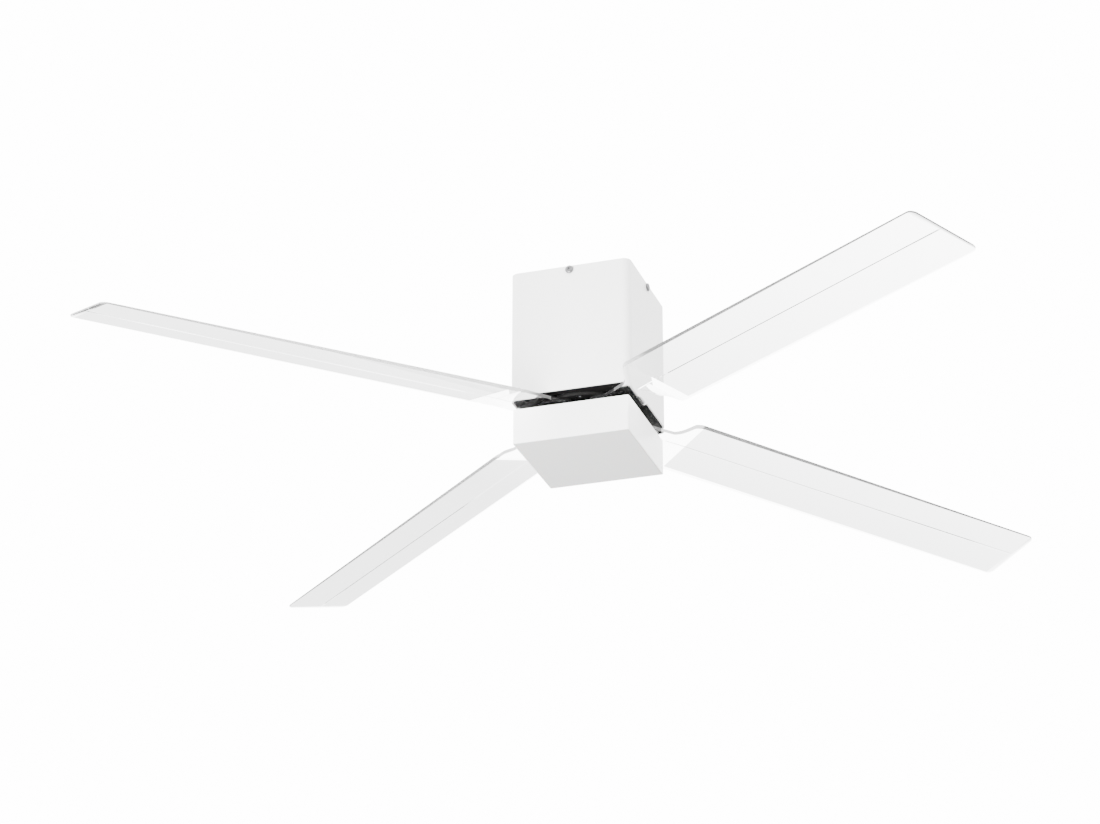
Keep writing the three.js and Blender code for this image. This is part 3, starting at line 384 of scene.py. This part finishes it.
# ---- Materials ----
def material(name, color, roughness, metallic=0.0, tone=0.05, patch=12.0, rough_change=0.08,
             grain=900.0, bump=0.05, bump_depth=0.05, lines=None, **shader_values):
    """A Principled material whose colour, roughness and height come from the shared groups."""
    made = bpy.data.materials.new(name)
    made.use_nodes = True
    tree = made.node_tree
    shader = tree.nodes["Principled BSDF"]
    finish = add(tree, "ShaderNodeGroup", node_tree=UNEVEN)
    finish.inputs["Color"].default_value = (*color, 1)
    finish.inputs["Tone Change"].default_value = tone
    finish.inputs["Patch Scale"].default_value = patch
    finish.inputs["Roughness"].default_value = roughness
    finish.inputs["Roughness Change"].default_value = rough_change
    finish.inputs["Grain Scale"].default_value = grain
    tree.links.new(finish.outputs["Roughness"], shader.inputs["Roughness"])
    shader.inputs["Metallic"].default_value = metallic
    for key, value in shader_values.items():
        shader.inputs[key.replace("_", " ")].default_value = value
    relief = add(tree, "ShaderNodeBump")
    relief.inputs["Strength"].default_value = bump
    relief.inputs["Distance"].default_value = bump_depth * MM
    tree.links.new(relief.outputs["Normal"], shader.inputs["Normal"])
    if lines is None:
        tree.links.new(finish.outputs["Color"], shader.inputs["Base Color"])
        tree.links.new(finish.outputs["Height"], relief.inputs["Height"])
        return made
    ruled = add(tree, "ShaderNodeGroup", node_tree=RULED)
    ruled.inputs["Direction"].default_value = lines["direction"]
    ruled.inputs["Lines Per Metre"].default_value = lines["per_metre"]
    ruled.inputs["Waver"].default_value = lines["waver"]
    blend = add(tree, "ShaderNodeMix", data_type="RGBA")
    blend.inputs["B"].default_value = (*lines["color"], 1)
    tree.links.new(ruled.outputs["Mask"], blend.inputs["Factor"])
    tree.links.new(finish.outputs["Color"], blend.inputs["A"])
    tree.links.new(blend.outputs["Result"], shader.inputs["Base Color"])
    tree.links.new(ruled.outputs["Mask"], relief.inputs["Height"])
    return made


white_paint = material("white_paint", (0.83, 0.83, 0.825), 0.3, tone=0.015, patch=9.0,
                       rough_change=0.06, grain=1100.0, bump=0.12, bump_depth=0.02)
black_paint = material("black_paint", (0.006, 0.006, 0.006), 0.6, tone=0.3, grain=1800.0,
                       bump=0.2, bump_depth=0.03, Specular_IOR_Level=0.12)
cast_metal = material("black_cast_metal", (0.008, 0.008, 0.008), 0.5, tone=0.4,
                      grain=2200.0, bump=0.35, bump_depth=0.06, Specular_IOR_Level=0.25)
zinc = material("zinc_steel", (0.5, 0.51, 0.52), 0.42, metallic=1.0, tone=0.25, patch=160.0,
                rough_change=0.25, grain=900.0, bump=0.1)
steel = material("bright_steel", (0.34, 0.345, 0.355), 0.36, metallic=1.0, tone=0.1, patch=200.0,
                 rough_change=0.15, grain=3000.0, bump=0.08, bump_depth=0.02)
screw_steel = material("screw_steel", (0.16, 0.16, 0.165), 0.34, metallic=1.0, tone=0.3,
                       patch=400.0, rough_change=0.2, grain=3000.0, bump=0.1, bump_depth=0.02)
dark_plastic = material("dark_plastic", (0.03, 0.03, 0.033), 0.5, tone=0.15, grain=2600.0,
                        bump=0.35, bump_depth=0.05)
pale_plastic = material("pale_plastic", (0.72, 0.72, 0.69), 0.5, tone=0.05, grain=2600.0,
                        bump=0.3, bump_depth=0.05)
lamination = material("lamination_steel", (0.3, 0.31, 0.32), 0.45, metallic=1.0,
                      lines={"direction": (0, 0, 1), "per_metre": 2000.0, "waver": 0.0,
                             "color": (0.12, 0.12, 0.13)}, bump=0.5, bump_depth=0.1)
copper = material("copper_wire", (0.6, 0.24, 0.08), 0.35, metallic=1.0,
                  lines={"direction": (0.6, 0.8, 0.35), "per_metre": 1600.0, "waver": 1.2,
                         "color": (0.28, 0.09, 0.03)}, bump=0.6, bump_depth=0.15)
ferrite = material("magnet_ferrite", (0.045, 0.045, 0.05), 0.65, tone=0.5, patch=90.0,
                   grain=1500.0, bump=0.3)
# Dark grey on the light box's roof, under the slot: painted shade for the shade that falls between
# canopy and light box.
roof_painted_shade = material("roof_grey_painted_shade", (0.12, 0.12, 0.12), 0.6, tone=0.2, grain=1800.0,
                      bump=0.2, bump_depth=0.03)
board_white = material("board_white", (0.8, 0.8, 0.78), 0.35, tone=0.05, grain=1500.0)
opal = material("opal_acrylic", (0.52, 0.52, 0.516), 0.4, tone=0.012, patch=5.0,
                rough_change=0.04, grain=1600.0, bump=0.06, bump_depth=0.02,
                Subsurface_Weight=0.2, Subsurface_Scale=0.004)
sleeve = material("lead_sleeve", (0.04, 0.04, 0.045), 0.55, tone=0.2, grain=1400.0, bump=0.2)


BLADE_IOR = 1.25  # under acrylic's own 1.49, which traps light and turns the thin edges black


def clear_acrylic(name):
    return material(name, (0.96, 0.965, 0.965), 0.004, tone=0.02, patch=6.0, rough_change=0.008,
                    grain=400.0, bump=0.01, bump_depth=0.01, Transmission_Weight=1.0,
                    IOR=BLADE_IOR)


def open_from_within(made):
    """Lets light inside a blade leave through this material without a bend."""
    tree = made.node_tree
    side = add(tree, "ShaderNodeNewGeometry")
    solid = add(tree, "ShaderNodeMath", operation="SUBTRACT")
    solid.inputs[0].default_value = 1.0
    tree.links.new(side.outputs["Backfacing"], solid.inputs[1])
    tree.links.new(solid.outputs[0], tree.nodes["Principled BSDF"].inputs["Alpha"])
    return made


def cut_edge(name, level):
    """A blade's cut edge, grey as painted shade for the dark line that light trapped in the acrylic
    makes there from outside.
    """
    made = material(name, (level, level, level), 0.6, tone=0.1, patch=20.0, rough_change=0.1,
                    grain=700.0, bump=0.05, bump_depth=0.03, Transmission_Weight=0.8,
                    IOR=BLADE_IOR)
    return open_from_within(made)


clear = clear_acrylic("clear_acrylic")
# Grey cut edges of the panels: painted shade for the dark lines that trapped light makes in
# acrylic.
panel_edge_painted_shade = cut_edge("clear_acrylic_edge_painted_shade", 0.3)
# Near-black cut edges of the necks inside the slot: a shaded copy of the edge material, painted
# shade of the slot.
neck_edge_painted_shade = cut_edge("clear_acrylic_neck_edge_painted_shade", 0.03)
twisted_clear = open_from_within(clear_acrylic("clear_acrylic_twist"))
floor_finish = material("studio_floor", (0.46, 0.46, 0.455), 0.7, tone=0.02, patch=1.5,
                        grain=60.0, bump=0.02)

SLOT_FINISH = {
    "white_paint": white_paint, "black_paint": black_paint, "black_cast_metal": cast_metal,
    "zinc_steel": zinc, "bright_steel": steel, "dark_plastic": dark_plastic,
    "pale_plastic": pale_plastic, "lamination_steel": lamination, "copper_wire": copper,
    "magnet_ferrite": ferrite, "board_white": board_white, "opal_acrylic": opal,
    "lead_sleeve": sleeve, "clear_acrylic": clear,
}


# ---- Screws: shares of the head's radius, or of its height where the name says so ----
RECESS_REACH = 0.62
RECESS_DEPTH_SHARE = 0.7
RECESS_BAR = 0.42
RECESS_TAPER = 0.55
HEAD_SEAT = 0.96
HEAD_SEAT_HEIGHT = 0.12
DOME_WALL_HEIGHT = 0.35
FLAT_TOP = 0.92
FLAT_WALL_HEIGHT = 0.85


def cross_recess(radius, depth, level):
    """Two tapered bars crossing at the axis: the driver's recess in a screw head."""
    bars = []
    for angle in (0, math.pi / 2):
        bar = bmesh.new()
        bmesh.ops.create_cube(bar, size=1.0)
        bmesh.ops.scale(bar, verts=bar.verts[:],
                        vec=(radius * 2 * MM, radius * RECESS_BAR * MM, depth * 2 * MM))
        lower = [v for v in bar.verts if v.co.z < 0]
        bmesh.ops.scale(bar, verts=lower, vec=(RECESS_TAPER, RECESS_TAPER, 1))
        bars.append(place(bar, Matrix.Translation((0, 0, level * MM)) @ about_z(angle)))
    return bars


def screw(head, height, shank, length, domed):
    """A screw along Z with its head's seat at z = 0, its top at height and its shank below."""
    foot = [(head, HEAD_SEAT_HEIGHT * height), (head * HEAD_SEAT, 0)]
    if domed:
        steps = [math.radians(15 * i) for i in range(7)]
        wall = height * DOME_WALL_HEIGHT
        top = [(head * math.sin(a), wall + (height - wall) * math.cos(a)) for a in steps]
    else:
        top = [(0, height), (head * FLAT_TOP, height), (head, height * FLAT_WALL_HEIGHT)]
    stem = [(shank, 0), (shank, shank * 0.5 - length), (shank * 0.5, -length), (0, -length)]
    bm = turned(top + foot + stem)
    return cut(bm, *cross_recess(head * RECESS_REACH, height * RECESS_DEPTH_SHARE, height))


# ---- Canopy ----
def canopy():
    bm = bmesh.new()
    outer = square_face(bm, CANOPY_HALF, CANOPY_EDGE, CANOPY_TOP)
    inner = square_face(bm, CANOPY_HALF - CANOPY_WALL, CANOPY_EDGE - CANOPY_WALL, CANOPY_TOP)
    raise_faces(bm, frame_between(bm, outer, inner), CANOPY_BOTTOM - CANOPY_TOP)
    soften(bm, CANOPY_RIM, 3)
    reach = CANOPY_HALF * 1.2
    tools = []
    for axis in ("X", "Y"):
        across = Matrix.Translation((0, 0, CANOPY_SCREW_LEVEL * MM))
        across = across @ Matrix.Rotation(math.pi / 2, 4, axis)
        tools.append(place(rods([(0, 0)], CANOPY_SHANK + SCREW_GAP, reach, -reach), across))
    piece("canopy_cover", cut(bm, *tools), [white_paint], "canopy")


def canopy_floor():
    floor_top = FLOOR_BOTTOM + FLOOR_SHEET
    bm = bmesh.new()
    outer = square_face(bm, FLOOR_HALF, FLOOR_EDGE, FLOOR_BOTTOM)
    window = round_face(bm, ROTOR_WINDOW, FLOOR_BOTTOM)
    raise_faces(bm, frame_between(bm, outer, window), FLOOR_SHEET)
    soften(bm, FLOOR_RIM)
    rim = bmesh.new()
    outer = square_face(rim, FLOOR_HALF, FLOOR_EDGE, floor_top)
    inner = square_face(rim, FLOOR_HALF - FLOOR_SHEET, FLOOR_EDGE - FLOOR_SHEET, floor_top)
    raise_faces(rim, frame_between(rim, outer, inner), FLOOR_RIM_TOP - floor_top)
    soften(rim, FLOOR_RIM)
    piece("canopy_floor_plate", join(bm, rim), [black_paint], "canopy_floor")


def canopy_screws():
    for i in range(4):
        bm = screw(CANOPY_HEAD, CANOPY_HEAD_HEIGHT, CANOPY_SHANK, CANOPY_SCREW_LENGTH, True)
        recess_angle = 20 + 31 * i
        place(bm, about_z(math.radians(recess_angle)))
        outward = Matrix.Rotation(math.pi / 2, 4, "Y")
        at = Matrix.Translation(((CANOPY_HALF + SCREW_GAP) * MM, 0, CANOPY_SCREW_LEVEL * MM))
        place(bm, about_z(math.pi / 2 * i) @ at @ outward)
        piece(f"canopy_pan_screw_{i + 1}", bm, [screw_steel], f"canopy_screw_{i + 1}")


# ---- Light box ----
def light_box():
    height = LIGHT_TOP - LIGHT_BOTTOM
    bm = bmesh.new()
    raise_faces(bm, [square_face(bm, LIGHT_HALF, LIGHT_EDGE, LIGHT_TOP)], -height)
    hollow = bmesh.new()
    inner = square_face(hollow, LIGHT_HALF - LIGHT_WALL, LIGHT_EDGE - LIGHT_WALL,
                        LIGHT_TOP - LIGHT_ROOF, 6)
    raise_faces(hollow, [inner], -height)
    spindle_hole = rods([(0, 0)], SPINDLE_HOLE, LIGHT_TOP + 1, LIGHT_TOP - 2 * LIGHT_ROOF, 64)
    bm = cut(bm, hollow, spindle_hole)
    soften(bm, LIGHT_RIM, 3)
    corners = [(x * POST_REACH, y * POST_REACH) for x in (1, -1) for y in (1, -1)]
    # The roof's upward faces take the dark grey: painted shade of the slot above them.
    roof_level = (LIGHT_TOP - LIGHT_RIM / 4) * MM
    for face in bm.faces:
        if face.normal.z > 0.9 and face.calc_center_median().z > roof_level:
            face.material_index = 1
    posts = rods(corners, POST_RADIUS, LIGHT_TOP - LIGHT_ROOF / 2, POST_BOTTOM)
    piece("light_box", join(bm, posts), [white_paint, roof_painted_shade], "light_housing")


def diffuser():
    half = LIGHT_HALF - LIGHT_WALL - DIFFUSER_GAP
    pan = bmesh.new()
    raise_faces(pan, [square_face(pan, half, DIFFUSER_CORNER, LIGHT_BOTTOM, 4)], DIFFUSER_HEIGHT)
    dish = bmesh.new()
    dish_floor = LIGHT_BOTTOM + DIFFUSER_FACE
    floor = square_face(dish, half - DIFFUSER_WALL, DISH_CORNER, dish_floor, 4)
    raise_faces(dish, [floor], DIFFUSER_HEIGHT)
    pan = cut(pan, dish)
    soften(pan, DIFFUSER_RIM)
    piece("light_diffuser", pan, [opal], "diffuser")


# ---- Blades: u runs along a blade from the fan's axis, and v across it to the lower edge ----
CLEAR_FACE, PANEL_EDGE_FACE, NECK_SHADED_EDGE_FACE, TWISTED_FACE = range(4)


def blade_floor(u, v):
    """The level of a blade's underside."""
    twist = min(max((u - BEND_FROM) / (TWIST_TO - BEND_FROM), 0.0), 1.0)
    return NECK_BOTTOM - max(0.0, u - BEND_FROM) * DROOP - v * PITCH * twist


def blade_thickness(u):
    if u < LEAD_SHOULDER:
        share = max(0.0, u - BEND_FROM) / (LEAD_SHOULDER - BEND_FROM)
        return ROOT_THICK + (PANEL_THICK - ROOT_THICK) * share
    share = (u - LEAD_SHOULDER) / (BLADE_TIP - LEAD_SHOULDER)
    return PANEL_THICK + (TIP_THICK - PANEL_THICK) * share


def blade_outline(bm):
    """The blade from above, as one flat face; each corner has its place, radius and segments."""
    inner = PIVOT_CIRCLE - EYE
    along, across = EYE_BULGE
    corners = [((inner, -EYE), EYE - 0.1, 16), ((PIVOT_CIRCLE + 2.0, -EYE), 1.5, 2),
               ((PIVOT_CIRCLE + along, across), 3.0, 4),
               ((PIVOT_CIRCLE + NECK_BEGINS, NECK_LEAD), 2.0, 3),
               ((NECK_TO, NECK_LEAD), 8.0, 8),
               ((LEAD_SHOULDER, BLADE_LEAD), 9.0, 8), ((BLADE_TIP, BLADE_LEAD), 8.0, 10),
               ((BLADE_TIP, BLADE_TRAIL), 8.0, 10), ((TRAIL_SHOULDER, BLADE_TRAIL), 8.0, 8),
               ((NECK_TO, EYE), 6.0, 6), ((inner, EYE), EYE - 0.1, 16)]
    verts = [bm.verts.new((u * MM, v * MM, 0)) for (u, v), _, _ in corners]
    bm.faces.new(verts)
    for vert, (_, radius, segments) in zip(verts, corners):
        bmesh.ops.bevel(bm, geom=[vert], offset=radius * MM, offset_type="OFFSET",
                        segments=segments, profile=0.5, affect="VERTICES", material=-1,
                        clamp_overlap=False)


def blade_cuts():
    """Lines that divide the flat blade, as a distance and the axis it is measured along."""
    step = (TWIST_TO - BEND_FROM) / TWIST_STEPS
    twist = [(BEND_FROM + step * i, "u") for i in range(TWIST_STEPS + 1)]
    panel = [(u, "u") for u in PANEL_CUTS]
    rib = [(RIB_AT + side * dv, "v") for side in (-1, 1) for dv in (RIB_CREST, RIB_FOOT)]
    mouths = [(LEAD_LEAVES_SLOT, "u"), (TRAIL_LEAVES_SLOT, "u"), (OPEN_TO, "u")]
    return mouths + twist + panel + [(RIB_TO, "u"), (RIB_TO + RIB_END_SLOPE, "u")] + rib


def shape_blade(bm):
    """Lifts the flat, 1 m thick blade to its own thickness, pitch, droop and rib."""
    for vert in bm.verts:
        u, v, depth = vert.co.x / MM, vert.co.y / MM, vert.co.z
        rib = abs(v - RIB_AT) < (RIB_CREST + RIB_FOOT) / 2 and RIB_FROM < u < RIB_TO + 0.1
        level = blade_floor(u, v) + depth * blade_thickness(u)
        vert.co.z = (level - (RIB_HEIGHT if rib and depth < 0.5 else 0)) * MM


def in_hole(u, v, margin=0.5):
    """Whether a wall of the flat blade belongs to one of its holes."""
    screw_hole = math.hypot(u - BLADE_SCREW_AT, abs(v) - BLADE_SCREW_SIDE) < BLADE_HEAD + margin
    return screw_hole or math.hypot(u - PIVOT_CIRCLE, v) < BUSH_HOLE + margin


def face_finish(face):
    """Which of a blade's materials a face of the flat blade takes."""
    middle = face.calc_center_median() / MM
    if abs(face.normal.z) < 0.5 and not in_hole(middle.x, middle.y):
        # Edge walls inside the slot take the near-black copy, as painted shade.
        mouth = LEAD_LEAVES_SLOT if middle.y < 0 else TRAIL_LEAVES_SLOT
        return PANEL_EDGE_FACE if middle.x > mouth else NECK_SHADED_EDGE_FACE
    return TWISTED_FACE if LEAD_LEAVES_SLOT < middle.x < OPEN_TO else CLEAR_FACE


def blade(number):
    bm = bmesh.new()
    blade_outline(bm)
    raise_faces(bm, bm.faces[:], 1 / MM)
    holes = [(BLADE_SCREW_AT, BLADE_SCREW_SIDE), (BLADE_SCREW_AT, -BLADE_SCREW_SIDE)]
    sink = BLADE_HEAD_SINK / ROOT_THICK
    bm = cut(bm, rods([(PIVOT_CIRCLE, 0)], BUSH_HOLE, 2 / MM, -1 / MM, 64),
             rods(holes, BLADE_SHANK + SCREW_GAP, 2 / MM, -1 / MM),
             rods(holes, BLADE_HEAD + SCREW_GAP, sink / MM, -1 / MM))
    for at, axis in blade_cuts():
        point = (at * MM, 0, 0) if axis == "u" else (0, at * MM, 0)
        normal = (1, 0, 0) if axis == "u" else (0, 1, 0)
        everything = bm.verts[:] + bm.edges[:] + bm.faces[:]
        bmesh.ops.bisect_plane(bm, geom=everything, dist=MERGE_DISTANCE, plane_co=point,
                               plane_no=normal)
    bm.normal_update()
    for face in bm.faces:
        face.material_index = face_finish(face)
    shape_blade(bm)
    soften(bm, BLADE_RIM)
    bmesh.ops.recalc_face_normals(bm, faces=bm.faces[:])
    place(bm, about_z(BLADE_ANGLE + math.pi / 2 * (number - 1)))
    piece(f"clear_blade_{number}", bm, [clear, panel_edge_painted_shade, neck_edge_painted_shade, twisted_clear],
          f"blade_{number}")


def blade_screws(number):
    height = BLADE_HEAD_SINK - SCREW_GAP
    for letter, side in (("a", -1), ("b", 1)):
        bm = screw(BLADE_HEAD, height, BLADE_SHANK, BLADE_SCREW_LENGTH, False)
        recess_angle = 15 + 40 * number
        place(bm, about_z(math.radians(recess_angle)))
        upside = Matrix.Rotation(math.pi, 4, "X")
        at = Matrix.Translation((BLADE_SCREW_AT * MM, side * BLADE_SCREW_SIDE * MM,
                                 (NECK_BOTTOM + height) * MM))
        place(bm, about_z(BLADE_ANGLE + math.pi / 2 * (number - 1)) @ at @ upside)
        piece(f"neck_screw_{number}{letter}", bm, [screw_steel], f"blade_screw_{number}{letter}")


# ---- Pieces kept from the solids, with softened edges ----
FLAT_ANGLE = 1.5  # degrees, as is the next one
SOLID_SHARP_ANGLE = 40.0


def refined(node, width=0.25):
    bm = bmesh.new()
    bm.from_mesh(frame["nodes"][node].data)
    bmesh.ops.remove_doubles(bm, verts=bm.verts[:], dist=SOLID_MERGE_DISTANCE)
    bmesh.ops.dissolve_limit(bm, angle_limit=math.radians(FLAT_ANGLE), verts=bm.verts[:],
                             edges=bm.edges[:])
    soften(bm, width, 2, SOLID_SHARP_ANGLE)
    piece(node + "_finished", bm, [SLOT_FINISH[SLOT_OF[node]]], node, smooth=35.0)


# ---- The studio ----
# The photograph's viewpoint, fitted to the body's corners; focal length in pixels of the picture,
# distance and height in widths of the light box.
PICTURE_WIDTH = 1100
CAMERA = {"focal": 3171.982, "azimuth": 17.559, "distance": 24.201, "height": -12.013,
          "pitch": 24.227, "yaw": 0.768, "roll": 0.095}


def camera():
    azimuth = math.radians(CAMERA["azimuth"])
    width = 2 * LIGHT_HALF * MM
    reach = CAMERA["distance"] * width
    spot = Vector((reach * math.sin(azimuth), -reach * math.cos(azimuth),
                   CAMERA["height"] * width))
    heading = azimuth + math.radians(CAMERA["yaw"])
    level = Vector((-math.sin(heading), math.cos(heading), 0))
    pitch = math.radians(CAMERA["pitch"])
    ahead = level * math.cos(pitch) + Vector((0, 0, math.sin(pitch)))
    right = Vector((level.y, -level.x, 0))
    up = right.cross(ahead)
    roll = math.radians(CAMERA["roll"])
    right, up = (right * math.cos(roll) + up * math.sin(roll),
                 up * math.cos(roll) - right * math.sin(roll))
    data = bpy.data.cameras.new("photo_camera")
    data.sensor_width = 36.0
    data.lens = CAMERA["focal"] / PICTURE_WIDTH * data.sensor_width
    data.clip_end = 60.0
    thing = bpy.data.objects.new("photo_camera", data)
    thing.matrix_world = Matrix((
        (right.x, up.x, -ahead.x, spot.x), (right.y, up.y, -ahead.y, spot.y),
        (right.z, up.z, -ahead.z, spot.z), (0, 0, 0, 1)))
    scene.collection.objects.link(thing)
    scene.camera = thing


def area_light(name, place_at, look_at, size, power):
    data = bpy.data.lights.new(name, "AREA")
    data.shape = "SQUARE"
    data.size = size
    data.energy = power
    thing = bpy.data.objects.new(name, data)
    thing.location = place_at
    aim = Vector(look_at) - Vector(place_at)
    thing.rotation_euler = aim.to_track_quat("-Z", "Y").to_euler()
    thing.visible_camera = False
    thing.visible_transmission = False
    scene.collection.objects.link(thing)


# Light levels: the backdrop as the camera sees it, bare and through the blades (least, middle and
# most), and the softer light that falls on the fan. The two directions are slopes: how much a level
# grows along X, Y and Z.
BACKDROP = 15.0
BEHIND_BLADES = (4.6, 5.6, 12.0)
BRIGHTER_TOWARDS = (21.9, -12.2, 41.0)
LIGHT_FROM_ABOVE = 5.6
LIGHT_FROM_BELOW = 2.0
BELOW_ENDS = -0.45
ABOVE_BEGINS = 0.3
STRONGER_FROM = (-0.9, -0.3, 0.0)
KEY_PLACE = (-0.3, -0.8, -0.62)
KEY_TARGET = (0, -0.07, -0.12)
KEY_SIZE = 0.5
KEY_POWER = 29
FLOOR_LEVEL = -2.5
FLOOR_REACH = 30.0


def studio_sky():
    """A white backdrop, and a soft light that is stronger from the sides and above than below."""
    world = bpy.data.worlds.new("studio_sky")
    scene.world = world
    world.use_nodes = True
    tree = world.node_tree
    link = tree.links.new
    heading = add(tree, "ShaderNodeTexCoord")
    height = add(tree, "ShaderNodeSeparateXYZ")
    link(heading.outputs["Generated"], height.inputs[0])
    level = add(tree, "ShaderNodeMapRange", interpolation_type="SMOOTHSTEP")
    level.inputs["From Min"].default_value = BELOW_ENDS
    level.inputs["From Max"].default_value = ABOVE_BEGINS
    level.inputs["To Min"].default_value = LIGHT_FROM_BELOW
    level.inputs["To Max"].default_value = LIGHT_FROM_ABOVE
    link(height.outputs["Z"], level.inputs["Value"])
    lean = add(tree, "ShaderNodeVectorMath", operation="DOT_PRODUCT")
    lean.inputs[1].default_value = STRONGER_FROM
    link(heading.outputs["Generated"], lean.inputs[0])
    soft = add(tree, "ShaderNodeMath", operation="ADD")
    link(level.outputs["Result"], soft.inputs[0])
    link(lean.outputs["Value"], soft.inputs[1])
    path = add(tree, "ShaderNodeLightPath")
    least, middle, most = BEHIND_BLADES
    slope = add(tree, "ShaderNodeVectorMath", operation="DOT_PRODUCT")
    slope.inputs[1].default_value = BRIGHTER_TOWARDS
    link(heading.outputs["Generated"], slope.inputs[0])
    glow = add(tree, "ShaderNodeMath", operation="ADD")
    glow.inputs[1].default_value = middle
    link(slope.outputs["Value"], glow.inputs[0])
    bounded = add(tree, "ShaderNodeClamp")
    bounded.inputs["Min"].default_value = least
    bounded.inputs["Max"].default_value = most
    link(glow.outputs[0], bounded.inputs["Value"])
    behind = add(tree, "ShaderNodeMix", data_type="FLOAT")
    link(path.outputs["Is Transmission Ray"], behind.inputs["Factor"])
    link(soft.outputs[0], behind.inputs["A"])
    link(bounded.outputs["Result"], behind.inputs["B"])
    strength = add(tree, "ShaderNodeMix", data_type="FLOAT")
    strength.inputs["B"].default_value = BACKDROP
    link(path.outputs["Is Camera Ray"], strength.inputs["Factor"])
    link(behind.outputs["Result"], strength.inputs["A"])
    sky = tree.nodes["Background"]
    sky.inputs["Color"].default_value = (1, 1, 1, 1)
    link(strength.outputs["Result"], sky.inputs["Strength"])


def studio():
    studio_sky()
    area_light("key_light", KEY_PLACE, KEY_TARGET, KEY_SIZE, KEY_POWER)
    bm = bmesh.new()
    bmesh.ops.create_grid(bm, x_segments=1, y_segments=1, size=FLOOR_REACH)
    bmesh.ops.translate(bm, verts=bm.verts[:], vec=(0, 0, FLOOR_LEVEL))
    floor = object_of("studio_floor", bm)
    floor.data.materials.append(floor_finish)


camera()
studio()

canopy()
canopy_floor()
canopy_screws()
light_box()
diffuser()
for count in range(1, 5):
    blade(count)
    blade_screws(count)
    refined(f"blade_hub_{count}")
for kept in ["ceiling_bracket", "receiver_box", "terminal_block", "flange_bolt_1",
             "flange_bolt_2", "rotor_nut", "light_lock_nut", "light_nut", "light_clamp_plate",
             "led_tray", "led_driver", "sync_gear"]:
    refined(kept)

for node_name, node_object in frame["nodes"].items():
    finish = SLOT_FINISH[SLOT_OF[node_name]]
    if not node_object.data.materials:
        node_object.data.materials.append(finish)
    for material_slot in node_object.material_slots:
        material_slot.material = finish
